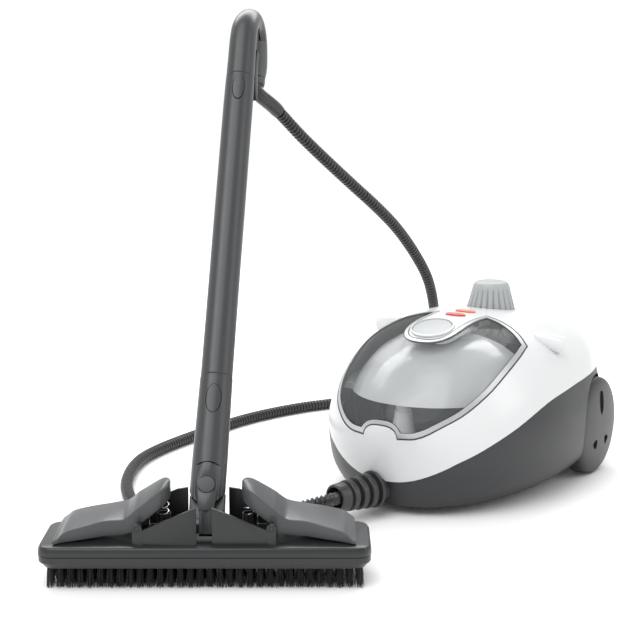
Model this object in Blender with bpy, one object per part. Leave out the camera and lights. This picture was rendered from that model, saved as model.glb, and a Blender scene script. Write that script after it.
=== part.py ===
"""Canister steam cleaner with a floor brush: solids, built in metres with +Z up.

The floor brush stands with the middle of its sole at the origin and its long side along X.
The canister stands behind it and to the right, and is drawn in its own axes:
u forwards to the nose, v to its left side, z up. The lance is drawn along s from the brush.
"""
import math

import bmesh
import bpy
import numpy as np
from mathutils import Matrix, Vector

# ---------------------------------------------------------------- driving dimensions
GAP = 0.0003                      # clearance between neighbouring pieces
WALL = 0.0028                     # shell wall

CANISTER_X = 0.273                # middle of the canister on the floor
CANISTER_Y = 0.329
CANISTER_YAW = math.radians(33)   # nose direction, turned from -Y towards -X

# Body outline at each height: (height, nose, tail, half width)
BODY_ROWS = [
    (0.0080, 0.1620, -0.1580, 0.1010),
    (0.0130, 0.1690, -0.1670, 0.1130),
    (0.0340, 0.1770, -0.1810, 0.1340),
    (0.0600, 0.1830, -0.1900, 0.1390),
    (0.0850, 0.1875, -0.1940, 0.1380),
    (0.1050, 0.1850, -0.1940, 0.1340),
    (0.1270, 0.1700, -0.1920, 0.1280),
    (0.1480, 0.1460, -0.1860, 0.1190),
    (0.1660, 0.1240, -0.1670, 0.1050),
    (0.1775, 0.1040, -0.1420, 0.0885),
    (0.1860, 0.0850, -0.1090, 0.0720),
    (0.1915, 0.0640, -0.0720, 0.0510),
    (0.1945, 0.0380, -0.0420, 0.0280),
    (0.1955, -0.0050, -0.0050, 0.0000),
]
BODY_MIDDLE = -0.030              # u of the widest section
BODY_TOP_U = -0.005               # u of the highest point
NOSE_POWER = 2.2                  # how square the outline is ahead of the widest section
TAIL_POWER = 2.7                  # and behind it
BODY_RINGS = 13
BODY_SIDES = 28

# Parting line between the white shell and the grey base: (u, height)
PARTING_LINE = [(0.230, 0.020), (0.183, 0.0350), (0.178, 0.0390), (0.171, 0.0480), (0.162, 0.0575),
                (0.149, 0.068), (0.111, 0.088), (0.045, 0.111), (-0.010, 0.119), (-0.069, 0.1225),
                (-0.140, 0.124), (-0.230, 0.124)]

# Lid outline, half of it, seen along the 45 degree line from the nose: (across, up the slope)
LID_ARCH = [(0.000, -0.0600), (0.008, -0.0602), (0.0145, -0.0618), (0.0185, -0.0650), (0.0205, -0.0690)]
LID_SIDE = [(0.0205, -0.0690), (0.040, -0.0640), (0.0575, -0.0510), (0.0780, -0.0240), (0.0910, 0.0110),
            (0.0965, 0.0480), (0.0975, 0.0800), (0.0950, 0.1030)]
LID_REAR = [(0.0950, 0.1030), (0.0790, 0.1180), (0.0540, 0.1320), (0.0295, 0.1405)]
LID_TONGUE = [(0.0295, 0.1405), (0.0268, 0.1200), (0.0266, 0.0950), (0.0250, 0.0770), (0.0195, 0.0660),
              (0.0110, 0.0605), (0.000, 0.0590)]
LID_FRAME_WIDTH = 0.0062
LID_THICK = 0.0026
LID_HINGE_U = 0.0240
LID_HINGE_Z = 0.1885
LID_ARM_V = 0.0302

WHEEL_U = -0.101
WHEEL_RADIUS = 0.0575
WHEEL_INNER_V = 0.108
WHEEL_OUTER_V = 0.133
WELL_RADIUS = 0.0610
WELL_V = 0.1050
AXLE_RADIUS = 0.0039

CASTER_U = 0.115
CASTER_TRAIL = 0.007
CASTER_RADIUS = 0.0105

BUTTON_U = 0.0720
BUTTON_RADIUS = 0.0222
LENS_PLACES = {"lens_red": 0.0160, "lens_orange": -0.0090}
LENS_HALF_WIDTH = 0.0125
LENS_HALF_DEPTH = 0.0058

CAP_U = -0.076
CAP_SEAT_Z = 0.1885
BOILER_U = -0.040
BOILER_RADIUS = 0.054

GLAND_POINT = (0.1733, -0.0079, 0.0290)
GLAND_TURN = math.radians(-17)    # towards the right side of the canister

LEAN = math.radians(32)           # lance leans back from upright
SWAY = math.radians(2.8)          # and a little to the right
HANDLE_TWIST = math.radians(13)
PITCH_Z = 0.050
PIVOT_S = 0.035                   # brush swing pivot, up the lance
NECK_TOP = 0.1472
TUBE_TOP = 0.4882
NECK_RADIUS = 0.0171
CHEEK_INNER = 0.0127
CHEEK_REACH = 0.0228            # from the swing axis to the top of the cheeks
PIN_RADIUS = 0.0082
TUBE_RADIUS = 0.0157
SPIGOT_RADIUS = 0.0122
SOCKET_RADIUS = 0.0126
SPIGOT_LENGTH = 0.044
SEAL_RECESS = 0.0028

HEAD_HALF_WIDTH = 0.155
HEAD_HALF_DEPTH = 0.0415
HEAD_TOP = 0.0415
HEAD_SEAM = 0.0325
HEAD_UNDER = 0.0198
CLAMP_PIN_X = 0.062
CLAMP_PIN_Z = 0.0565
SPRING_X = 0.0405

HOSE_RADIUS = 0.0070
HOSE_FLOOR_Z = 0.0072
HOSE_FLOOR_ROUTE = [(0.082, 0.142, 0.0190), (0.050, 0.134, 0.0085), (0.000, 0.131, HOSE_FLOOR_Z),
                    (-0.050, 0.146, HOSE_FLOOR_Z), (-0.089, 0.187, HOSE_FLOOR_Z),
                    (-0.108, 0.245, HOSE_FLOOR_Z), (-0.114, 0.303, HOSE_FLOOR_Z),
                    (-0.110, 0.361, HOSE_FLOOR_Z), (-0.094, 0.410, HOSE_FLOOR_Z),
                    (-0.059, 0.472, HOSE_FLOOR_Z), (-0.005, 0.550, HOSE_FLOOR_Z),
                    (0.035, 0.594, HOSE_FLOOR_Z), (0.082, 0.632, HOSE_FLOOR_Z),
                    (0.126, 0.657, HOSE_FLOOR_Z)]
HOSE_RISE_ROUTE = [(0.158, 0.672, HOSE_FLOOR_Z), (0.193, 0.681, 0.0100), (0.226, 0.679, 0.0260),
                   (0.251, 0.664, 0.0580), (0.2635, 0.638, 0.1000), (0.2650, 0.610, 0.1330),
                   (0.2612, 0.580, 0.1650), (0.2501, 0.548, 0.2034), (0.2300, 0.515, 0.2409),
                   (0.2053, 0.482, 0.2763), (0.1779, 0.450, 0.3066), (0.1474, 0.420, 0.3362),
                   (0.1157, 0.388, 0.3674), (0.0889, 0.362, 0.3948), (0.0719, 0.345, 0.4139)]
RELIEF_ROUTE = [(0.0410, 0.3160, 0.4445), (0.0480, 0.3205, 0.4385), (0.0552, 0.3265, 0.4322),
                (0.0619, 0.3325, 0.4253)]

# ---------------------------------------------------------------- start from nothing
for old in list(bpy.data.objects):
    bpy.data.objects.remove(old, do_unlink=True)


# ---------------------------------------------------------------- axes
def canister_matrix():
    nose = Vector((-math.sin(CANISTER_YAW), -math.cos(CANISTER_YAW), 0))
    left = Vector((math.cos(CANISTER_YAW), -math.sin(CANISTER_YAW), 0))
    up = Vector((0, 0, 1))
    m = Matrix((nose, left, up)).transposed().to_4x4()
    m.translation = (CANISTER_X, CANISTER_Y, 0)
    return m


def axes_matrix(x_axis, y_axis, z_axis, origin):
    m = Matrix((x_axis, y_axis, z_axis)).transposed().to_4x4()
    m.translation = origin
    return m


CANISTER = canister_matrix()
WORLD = Matrix.Identity(4)

X_AXIS = Vector((1, 0, 0))
LEAN_UP = Vector((0, math.sin(LEAN), math.cos(LEAN)))
LEAN_BACK = Vector((0, math.cos(LEAN), -math.sin(LEAN)))
PITCH_POINT = Vector((0, 0, PITCH_Z))
SWING_POINT = PITCH_POINT + LEAN_UP * PIVOT_S
LANCE_UP = LEAN_UP * math.cos(SWAY) + X_AXIS * math.sin(SWAY)
LANCE_RIGHT = X_AXIS * math.cos(SWAY) - LEAN_UP * math.sin(SWAY)
HANDLE_BACK = LEAN_BACK * math.cos(HANDLE_TWIST) + LANCE_RIGHT * math.sin(HANDLE_TWIST)
HANDLE_RIGHT = LANCE_RIGHT * math.cos(HANDLE_TWIST) - LEAN_BACK * math.sin(HANDLE_TWIST)
LANCE_ZERO = SWING_POINT - LANCE_UP * PIVOT_S

# x right, y back, z along the lance
YOKE = axes_matrix(X_AXIS, LEAN_BACK, LEAN_UP, PITCH_POINT)
LANCE = axes_matrix(LANCE_RIGHT, LEAN_BACK, LANCE_UP, LANCE_ZERO)
HANDLE = axes_matrix(HANDLE_RIGHT, HANDLE_BACK, LANCE_UP, LANCE_ZERO)


# ---------------------------------------------------------------- smooth curves
def spline(points, count):
    """Points evenly spread by parameter along a smooth curve through the given points."""
    pts = np.array(points, dtype=float)
    padded = np.vstack([2 * pts[0] - pts[1], pts, 2 * pts[-1] - pts[-2]])
    out = []
    for t in np.linspace(0, len(pts) - 1, count):
        i = min(int(t), len(pts) - 2)
        f = t - i
        a, b, c, d = padded[i:i + 4]
        out.append(0.5 * (2 * b + (c - a) * f + (2 * a - 5 * b + 4 * c - d) * f ** 2
                          + (3 * b - a - 3 * c + d) * f ** 3))
    return np.array(out)


def even_curve(points, step):
    """The same smooth curve, with points at equal distances."""
    fine = spline(points, 40 * len(points))
    lengths = np.concatenate([[0], np.cumsum(np.linalg.norm(np.diff(fine, axis=0), axis=1))])
    count = max(2, int(round(lengths[-1] / step)) + 1)
    wanted = np.linspace(0, lengths[-1], count)
    return np.stack([np.interp(wanted, lengths, fine[:, k]) for k in range(3)], axis=1)


# ---------------------------------------------------------------- materials and objects
def material(name, colour, rough=0.5, metal=0.0, alpha=1.0):
    mat = bpy.data.materials.new(name)
    mat.use_nodes = True
    shader = mat.node_tree.nodes["Principled BSDF"]
    shader.inputs["Base Color"].default_value = (*colour, 1)
    shader.inputs["Roughness"].default_value = rough
    shader.inputs["Metallic"].default_value = metal
    shader.inputs["Alpha"].default_value = alpha
    mat.diffuse_color = (*colour, alpha)
    return mat


WHITE = (0.86, 0.87, 0.87)
PALE = (0.55, 0.57, 0.58)
GREY = (0.085, 0.088, 0.092)
DARK = (0.030, 0.031, 0.033)
BLACK = (0.014, 0.014, 0.015)
STEEL = (0.62, 0.62, 0.63)
COPPER = (0.45, 0.25, 0.14)
GRIP_GREY = (0.12, 0.125, 0.13)


def make_object(name, verts, faces, matrix, colour, rough=0.5, metal=0.0):
    mesh = bpy.data.meshes.new(name)
    mesh.from_pydata([tuple(v) for v in verts], [], faces)
    mesh.transform(matrix)
    bm = bmesh.new()
    bm.from_mesh(mesh)
    bmesh.ops.recalc_face_normals(bm, faces=bm.faces)
    bm.to_mesh(mesh)
    bm.free()
    obj = bpy.data.objects.new(name, mesh)
    bpy.context.scene.collection.objects.link(obj)
    mesh.materials.append(material(name, colour, rough, metal))
    return obj


def combine(target, tool, operation="DIFFERENCE"):
    """Cut, join or intersect two solids and leave the result in the first."""
    mod = target.modifiers.new("step", "BOOLEAN")
    mod.operation = operation
    mod.solver = "EXACT"
    mod.object = tool
    graph = bpy.context.evaluated_depsgraph_get()
    result = bpy.data.meshes.new_from_object(target.evaluated_get(graph))
    target.modifiers.clear()
    old = target.data
    result.name = target.name
    target.data = result
    bpy.data.meshes.remove(old)
    while len(target.data.materials) > 1:
        target.data.materials.pop()
    for face in target.data.polygons:
        face.material_index = 0
    bm = bmesh.new()
    bm.from_mesh(target.data)
    bmesh.ops.remove_doubles(bm, verts=bm.verts, dist=2e-6)
    bmesh.ops.dissolve_degenerate(bm, edges=bm.edges, dist=1e-6)
    bm.to_mesh(target.data)
    bm.free()
    bpy.data.objects.remove(tool, do_unlink=True)
    return target


def set_origin(obj, point):
    """Put the object's origin on its joint axis."""
    obj.data.transform(Matrix.Translation(-Vector(point)))
    obj.location = point
    return obj


def smooth(obj, degrees=35):
    obj.data.shade_smooth()
    obj.data.set_sharp_from_angle(angle=math.radians(degrees))
    return obj


# ---------------------------------------------------------------- basic solids
def loft(name, loops, matrix, colour, rough=0.5, metal=0.0, ring=False):
    """Skin closed loops of equal point count; ends are capped unless they join in a ring."""
    n = len(loops[0])
    verts = [p for loop in loops for p in loop]
    faces = []
    last = len(loops) if ring else len(loops) - 1
    for i in range(last):
        a = i * n
        b = ((i + 1) % len(loops)) * n
        for j in range(n):
            k = (j + 1) % n
            faces.append((a + j, a + k, b + k, b + j))
    if not ring:
        faces.append(tuple(range(n)))
        faces.append(tuple(range((len(loops) - 1) * n, len(loops) * n)))
    return make_object(name, verts, faces, matrix, colour, rough, metal)


def turn(name, profile, frame, colour, rough=0.5, metal=0.0, sides=24, pipe=False):
    """Solid of revolution about the frame's z axis from (radius, height) points."""
    verts = []
    rings = []
    for radius, height in profile:
        if radius < 1e-6:
            rings.append([len(verts)])
            verts.append((0, 0, height))
        else:
            start = len(verts)
            for k in range(sides):
                angle = 2 * math.pi * k / sides
                verts.append((radius * math.cos(angle), radius * math.sin(angle), height))
            rings.append(list(range(start, start + sides)))
    faces = []
    pairs = list(zip(rings, rings[1:]))
    if pipe:
        pairs.append((rings[-1], rings[0]))
    for low, high in pairs:
        for k in range(sides):
            m = (k + 1) % sides
            if len(low) == 1:
                faces.append((low[0], high[m], high[k]))
            elif len(high) == 1:
                faces.append((low[k], low[m], high[0]))
            else:
                faces.append((low[k], low[m], high[m], high[k]))
    return make_object(name, verts, faces, frame, colour, rough, metal)


def frame_along(direction, origin, side=None):
    """Matrix whose z axis points along the direction."""
    z_axis = Vector(direction).normalized()
    hint = Vector(side) if side else (Vector((0, 0, 1)) if abs(z_axis.z) < 0.9 else Vector((1, 0, 0)))
    x_axis = (hint - z_axis * hint.dot(z_axis)).normalized()
    return axes_matrix(x_axis, z_axis.cross(x_axis), z_axis, origin)


def rod(name, start, end, radius, matrix, colour, rough=0.4, metal=0.0, sides=24):
    start = Vector(start)
    end = Vector(end)
    length = (end - start).length
    profile = [(0, 0), (radius, 0), (radius, length), (0, length)]
    return turn(name, profile, matrix @ frame_along(end - start, start), colour, rough, metal, sides)


def block(name, low, high, matrix, colour, rough=0.5, metal=0.0):
    (x0, y0, z0), (x1, y1, z1) = low, high
    corners = [(x0, y0), (x1, y0), (x1, y1), (x0, y1)]
    loops = [[(x, y, z) for x, y in corners] for z in (z0, z1)]
    return loft(name, loops, matrix, colour, rough, metal)


def prism(name, outline, low, high, matrix, colour, rough=0.5, metal=0.0):
    """Straight solid on a flat outline, between two heights of the frame's z axis."""
    loops = [[(x, y, z) for x, y in outline] for z in (low, high)]
    return loft(name, loops, matrix, colour, rough, metal)


def swept(name, path, radii, matrix, colour, rough=0.5, metal=0.0, sides=20, side_axis=(1, 0, 0)):
    """Elliptical section carried along a path lying square to the side axis."""
    across = Vector(side_axis).normalized()
    loops = []
    for i, point in enumerate(path):
        before = Vector(path[max(i - 1, 0)])
        after = Vector(path[min(i + 1, len(path) - 1)])
        tangent = (after - before).normalized()
        other = tangent.cross(across).normalized()
        wide, deep = radii[i]
        loop = []
        for k in range(sides):
            angle = 2 * math.pi * k / sides
            loop.append(Vector(point) + across * wide * math.cos(angle) + other * deep * math.sin(angle))
        loops.append(loop)
    return loft(name, loops, matrix, colour, rough, metal)


def tube_on_path(name, path, radius, matrix, colour, rough=0.5, metal=0.0, sides=8):
    """Round tube of even thickness along any path."""
    path = [Vector(p) for p in path]
    tangents = []
    for i in range(len(path)):
        tangents.append((path[min(i + 1, len(path) - 1)] - path[max(i - 1, 0)]).normalized())
    hint = Vector((0, 0, 1)) if abs(tangents[0].z) < 0.9 else Vector((1, 0, 0))
    across = (hint - tangents[0] * hint.dot(tangents[0])).normalized()
    loops = []
    for point, tangent in zip(path, tangents):
        across = (across - tangent * across.dot(tangent)).normalized()
        other = tangent.cross(across)
        loops.append([point + across * radius * math.cos(2 * math.pi * k / sides)
                      + other * radius * math.sin(2 * math.pi * k / sides) for k in range(sides)])
    return loft(name, loops, matrix, colour, rough, metal)


def rounded_rectangle(half_x, half_y, radius, steps=4):
    points = []
    for cx, cy, start in ((1, 1, 0), (-1, 1, 90), (-1, -1, 180), (1, -1, 270)):
        for k in range(steps + 1):
            angle = math.radians(start + 90 * k / steps)
            points.append((cx * (half_x - radius) + radius * math.cos(angle),
                           cy * (half_y - radius) + radius * math.sin(angle)))
    return points


def ellipse(half_x, half_y, count=24):
    return [(half_x * math.cos(2 * math.pi * k / count), half_y * math.sin(2 * math.pi * k / count))
            for k in range(count)]


# ---------------------------------------------------------------- canister body surface
def body_grid(inset):
    """Rings of body points from the flat underside up to the crown, moved inwards by the inset."""
    rows = spline(BODY_ROWS, BODY_RINGS + 1)
    grid = []
    for i, (height, nose, tail, half) in enumerate(rows):
        ring = []
        middle = BODY_MIDDLE
        if i > BODY_RINGS - 3:
            middle = BODY_MIDDLE + (BODY_TOP_U - BODY_MIDDLE) * (i - BODY_RINGS + 3) / 3
        for k in range(BODY_SIDES):
            angle = 2 * math.pi * k / BODY_SIDES
            c = math.cos(angle)
            s = math.sin(angle)
            power = NOSE_POWER if c >= 0 else TAIL_POWER
            reach = nose - middle if c >= 0 else middle - tail
            u = middle + reach * math.copysign(abs(c) ** (2 / power), c)
            v = max(half, 0) * math.copysign(abs(s) ** (2 / power), s)
            ring.append((u, v, height))
        grid.append(ring)
    grid = np.array(grid)
    if inset > 0:
        along = np.roll(grid, -1, axis=1) - np.roll(grid, 1, axis=1)
        up = np.empty_like(grid)
        up[1:-1] = grid[2:] - grid[:-2]
        up[0] = grid[1] - grid[0]
        up[-1] = grid[-1] - grid[-2]
        normal = np.cross(along, up)
        size = np.linalg.norm(normal, axis=2, keepdims=True)
        normal = normal / np.maximum(size, 1e-12)
        grid = grid - normal * inset
        grid[0, :, 2] = rows[0][0] + inset
        grid[-1] = (BODY_TOP_U, 0, rows[-1][0] - inset)
    return grid


def body_solid(name, inset=0.0, colour=WHITE):
    grid = body_grid(inset)
    verts = [tuple(p) for ring in grid[:-1] for p in ring]
    top = len(verts)
    verts.append(tuple(grid[-1, 0]))
    n = BODY_SIDES
    faces = [tuple(range(n))]
    for i in range(BODY_RINGS - 1):
        for k in range(n):
            m = (k + 1) % n
            faces.append((i * n + k, i * n + m, (i + 1) * n + m, (i + 1) * n + k))
    base = (BODY_RINGS - 1) * n
    for k in range(n):
        faces.append((base + k, base + (k + 1) % n, top))
    return make_object(name, verts, faces, CANISTER, colour)


def shrunk_body(name, inset, colour=WHITE):
    """Body scaled about its middle, so that its surface lies about the inset further in."""
    solid = body_solid(name, 0.0, colour)
    middle = Matrix.Translation((0, 0, 0.060))
    scale = Matrix.Diagonal((1 - inset / 0.190, 1 - inset / 0.138, 1 - inset / 0.1335, 1))
    solid.data.transform(CANISTER @ middle @ scale @ middle.inverted() @ CANISTER.inverted())
    return solid


def crown_height(u):
    """Height of the body's centre line."""
    rows = spline(BODY_ROWS, 400)
    best = rows[0]
    for row in rows:
        edge = row[1] if u >= BODY_TOP_U else row[2]
        inside = edge >= u if u >= BODY_TOP_U else edge <= u
        if inside:
            best = row
    return float(best[0])


def crown_normal(u):
    step = 0.004
    slope = (crown_height(u + step) - crown_height(u - step)) / (2 * step)
    return Vector((-slope, 0, 1)).normalized()


def side_prism(name, outline, v_low, v_high):
    """Solid on an outline in the (u, z) plane, between two v positions."""
    frame = Matrix(((1, 0, 0, 0), (0, 0, 1, 0), (0, 1, 0, 0), (0, 0, 0, 1)))
    return prism(name, outline, v_low, v_high, CANISTER @ frame, WHITE)


def below_parting(name, shift, bottom=-0.01):
    line = [(u, z + shift) for u, z in spline(PARTING_LINE, 34)]
    outline = line + [(-0.24, bottom), (0.24, bottom)]
    return side_prism(name, outline, -0.2, 0.2)


# ---------------------------------------------------------------- lid outline
SLOPE = math.sqrt(0.5)
# x across (v), y up the slope, z out along the 45 degree line
LID_VIEW = CANISTER @ Matrix(((0, -SLOPE, SLOPE, 0), (1, 0, 0, 0), (0, SLOPE, SLOPE, 0), (0, 0, 0, 1)))


def half_curve(parts):
    points = []
    for curve, count in parts:
        smooth_points = spline(curve, count)
        points += [tuple(p) for p in smooth_points[:-1]]
    points.append(tuple(parts[-1][0][-1]))
    return points


def mirrored(half):
    return half + [(-x, y) for x, y in reversed(half[1:-1])]


def lid_outline():
    return mirrored(half_curve([(LID_ARCH, 5), (LID_SIDE, 11), (LID_REAR, 4), (LID_TONGUE, 9)]))


def offset_outline(points, distance):
    """Move a closed outline inwards, keeping its corners mitred."""
    pts = np.array(points)
    area = 0.5 * np.sum(pts[:, 0] * np.roll(pts[:, 1], -1) - np.roll(pts[:, 0], -1) * pts[:, 1])
    turn_sign = 1 if area > 0 else -1
    out = []
    for i in range(len(pts)):
        before = pts[i] - pts[i - 1]
        after = pts[(i + 1) % len(pts)] - pts[i]
        before = before / np.linalg.norm(before)
        after = after / np.linalg.norm(after)
        n1 = np.array((-before[1], before[0])) * turn_sign
        n2 = np.array((-after[1], after[0])) * turn_sign
        mid = n1 + n2
        mid = mid / np.linalg.norm(mid)
        stretch = 1 / max(0.6, float(mid @ n1))
        out.append(tuple(pts[i] + mid * distance * stretch))
    return out


def lid_prism(name, outline, low=0.10, high=0.30):
    return prism(name, outline, low, high, LID_VIEW, WHITE)


# ---------------------------------------------------------------- canister shells
def wheel_cylinder(name, side, inner, radius, outer=0.20):
    start = (WHEEL_U, side * inner, WHEEL_RADIUS)
    end = (WHEEL_U, side * outer, WHEEL_RADIUS)
    return rod(name, start, end, radius, CANISTER, GREY, sides=24)


def gland_frame():
    direction = Vector((math.cos(GLAND_TURN), math.sin(GLAND_TURN), 0))
    return CANISTER @ frame_along(direction, GLAND_POINT)


def gland_hole(name):
    return turn(name, [(0, -0.03), (0.0150, -0.03), (0.0150, 0.03), (0, 0.03)], gland_frame(), GREY)


def button_frame(u, lift=0.0):
    normal = crown_normal(u)
    point = Vector((u, 0, crown_height(u))) + normal * lift
    return CANISTER @ frame_along(normal, point, side=(1, 0, 0))


def lens_prism(name, u, grow, low, high):
    outline = ellipse(LENS_HALF_DEPTH + grow, LENS_HALF_WIDTH + grow, 14)
    return prism(name, outline, low, high, button_frame(u), WHITE)


def tongue_half():
    return [tuple(p) for p in spline(LID_TONGUE, 9)]


outline = lid_outline()

# white upper shell
upper = body_solid("upper_shell")
combine(upper, body_solid("inside", WALL))
combine(upper, below_parting("low", GAP, bottom=-0.02))
skirt = body_solid("skirt", 0.0015)
combine(skirt, body_solid("inside", 0.0125))
half = [(x - GAP, y + GAP) if x > GAP else (x, y + GAP) for x, y in tongue_half()]
ring_outer = half + [(-x, y) for x, y in reversed(half[:-1])]
combine(skirt, lid_prism("tongue", ring_outer), "INTERSECT")
half_in = [(x - 0.0024, y) for x, y in half[:2]] + [(max(x - 0.0022, 0), y + 0.0018) for x, y in half[2:]]
half_in[0] = (half_in[0][0], 0.160)
ring_inner = half_in + [(-x, y) for x, y in reversed(half_in[:-1])]
combine(skirt, lid_prism("core", ring_inner))
combine(upper, lid_prism("opening", outline))
combine(upper, skirt, "UNION")
combine(upper, turn("bore", [(0, -0.02), (BUTTON_RADIUS + 0.0004, -0.02),
                             (BUTTON_RADIUS + 0.0004, 0.01), (0, 0.01)],
                    button_frame(BUTTON_U), WHITE, sides=28))
for lens_name, lens_u in LENS_PLACES.items():
    combine(upper, lens_prism("bore", lens_u, 0.0003, -0.02, 0.01))
# round seat for the safety cap
combine(upper, rod("seat", (CAP_U, 0, CAP_SEAT_Z - 0.0035), (CAP_U, 0, CAP_SEAT_Z), 0.0325, CANISTER, WHITE,
                   sides=32), "UNION")
combine(upper, rod("recess", (CAP_U, 0, CAP_SEAT_Z), (CAP_U, 0, 0.22), 0.0294, CANISTER, WHITE, sides=32))
combine(upper, rod("bore", (CAP_U, 0, 0.15), (CAP_U, 0, 0.22), 0.0150, CANISTER, WHITE))
combine(upper, gland_hole("bore"))
for side in (1, -1):
    combine(upper, rod("bore", (LID_HINGE_U, side * 0.0180, LID_HINGE_Z),
                       (LID_HINGE_U, side * 0.0280, LID_HINGE_Z), 0.0014, CANISTER, WHITE, sides=12))
smooth(upper)

# grey base
base = body_solid("base_shell", colour=GREY)
combine(base, below_parting("low", 0.0), "INTERSECT")
cavity = body_solid("cavity", WALL)
for side in (1, -1):
    combine(cavity, wheel_cylinder("bulge", side, WELL_V - WALL, WELL_RADIUS + WALL))
combine(cavity, rod("bulge", (CASTER_U, 0, -0.01), (CASTER_U, 0, 0.0368), 0.0228, CANISTER, GREY))
combine(base, cavity)
for side in (1, -1):
    combine(base, wheel_cylinder("well", side, WELL_V, WELL_RADIUS))
combine(base, rod("well", (CASTER_U, 0, -0.01), (CASTER_U, 0, 0.0340), 0.0200, CANISTER, GREY))
combine(base, rod("bore", (CASTER_U, 0, 0.02), (CASTER_U, 0, 0.05), 0.0034, CANISTER, GREY, sides=16))
combine(base, rod("bore", (WHEEL_U, -0.15, WHEEL_RADIUS), (WHEEL_U, 0.15, WHEEL_RADIUS),
                  AXLE_RADIUS + GAP, CANISTER, GREY))
combine(base, gland_hole("bore"))
combine(base, rod("bore", (-0.21, -0.040, 0.050), (-0.16, -0.040, 0.050), 0.0072, CANISTER, GREY))
smooth(base)


# ---------------------------------------------------------------- lid
def lid_skin(name, colour, thickness=LID_THICK):
    skin = body_solid(name, 0.0, colour)
    combine(skin, body_solid("inside", thickness))
    return skin


lid_frame = lid_skin("lid_frame", PALE)
combine(lid_frame, lid_prism("edge", offset_outline(outline, 0.0006)), "INTERSECT")
combine(lid_frame, lid_prism("pane", offset_outline(outline, LID_FRAME_WIDTH)))
hinge_point = CANISTER @ Vector((LID_HINGE_U, 0, LID_HINGE_Z))
for side in (1, -1):
    arm_low = (LID_HINGE_U - 0.0030, side * LID_ARM_V - 0.0021, LID_HINGE_Z - 0.0022)
    arm_high = (LID_HINGE_U + 0.0030, side * LID_ARM_V + 0.0021, LID_HINGE_Z + 0.0035)
    combine(lid_frame, block("arm", arm_low, arm_high, CANISTER, PALE), "UNION")
    combine(lid_frame, rod("bore", (LID_HINGE_U, side * 0.026, LID_HINGE_Z),
                           (LID_HINGE_U, side * 0.034, LID_HINGE_Z), 0.0014, CANISTER, PALE, sides=12))
smooth(lid_frame)
set_origin(lid_frame, hinge_point)

lid_window = lid_skin("lid_window", (0.30, 0.32, 0.33), 0.0020)
combine(lid_window, lid_prism("edge", offset_outline(outline, LID_FRAME_WIDTH + GAP)), "INTERSECT")
smooth(lid_window)
set_origin(lid_window, hinge_point)

for side, pin_name in ((1, "lid_pin_left"), (-1, "lid_pin_right")):
    smooth(rod(pin_name, (LID_HINGE_U, side * 0.0225, LID_HINGE_Z), (LID_HINGE_U, side * 0.0320, LID_HINGE_Z),
               0.0011, CANISTER, STEEL, 0.3, 1.0, sides=12))

# ---------------------------------------------------------------- inside the canister
cover = shrunk_body("boiler_cover", 0.0200, PALE)
combine(cover, shrunk_body("inside", 0.0222))
combine(cover, block("keep", (0.026, -0.2, 0.118), (0.30, 0.2, 0.30), CANISTER, PALE), "INTERSECT")
smooth(cover)

tray = shrunk_body("storage_tray", 0.0080, DARK)
combine(tray, block("keep", (0.0240, -0.2, 0.0500), (0.30, 0.2, 0.1150), CANISTER, DARK), "INTERSECT")
hollow = shrunk_body("hollow", 0.0102, DARK)
combine(hollow, block("keep", (0.0262, -0.2, 0.0522), (0.30, 0.2, 0.30), CANISTER, DARK), "INTERSECT")
combine(tray, hollow)
combine(tray, block("low rim", (0.0450, -0.2, 0.0850), (0.30, 0.2, 0.30), CANISTER, DARK))
smooth(tray)

nozzle_profile = [(0, 0.0526), (0.0190, 0.0526), (0.0180, 0.0620), (0.0130, 0.0860), (0.0100, 0.1010),
                  (0.0095, 0.1075), (0.0080, 0.1080), (0.0085, 0.1090), (0.0085, 0.1170), (0.0060, 0.1215),
                  (0, 0.1225)]
smooth(turn("spare_nozzle", nozzle_profile, CANISTER @ Matrix.Translation((0.136, 0, 0)), PALE, sides=24))

boiler_outer = [(0, 0.0340), (0.030, 0.0350), (0.046, 0.0400), (0.0525, 0.0500), (BOILER_RADIUS, 0.0620),
                (BOILER_RADIUS, 0.1120), (0.0520, 0.1240), (0.0450, 0.1350), (0.0330, 0.1430),
                (0.0180, 0.1475), (0, 0.1490)]
boiler_inner = [(0, 0.0362), (0.029, 0.0372), (0.0445, 0.0420), (0.0505, 0.0510), (0.0518, 0.0620),
                (0.0518, 0.1115), (0.0498, 0.1232), (0.0432, 0.1335), (0.0320, 0.1409),
                (0.0175, 0.1452), (0, 0.1468)]
boiler_frame = CANISTER @ Matrix.Translation((BOILER_U, 0, 0))
boiler = turn("boiler", boiler_outer, boiler_frame, STEEL, 0.35, 0.9, sides=16)
combine(boiler, turn("inside", boiler_inner, boiler_frame, STEEL, sides=16))
combine(boiler, rod("bore", (CAP_U, 0, 0.125), (CAP_U, 0, 0.160), 0.0100, CANISTER, STEEL))
smooth(boiler)

cap_frame = CANISTER @ Matrix.Translation((CAP_U, 0, 0))
neck_pipe = [(0.0144, 0.128), (0.0144, 0.1865), (0.0107, 0.1865), (0.0107, 0.128)]
filler = turn("filler_neck", neck_pipe, cap_frame, STEEL, 0.3, 0.9, sides=20, pipe=True)
grown = [(r * 1.006, z + (0.0004 if z > 0.09 else -0.0004)) for r, z in boiler_outer]
combine(filler, turn("dome", grown, boiler_frame, STEEL, sides=16))
smooth(filler)

heater_profile = [(0, 0.0215), (0.0430, 0.0215), (0.0430, 0.0300), (0.0300, 0.0335), (0, 0.0335)]
smooth(turn("heating_plate", heater_profile, boiler_frame, STEEL, 0.5, 0.8, sides=24))

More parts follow.
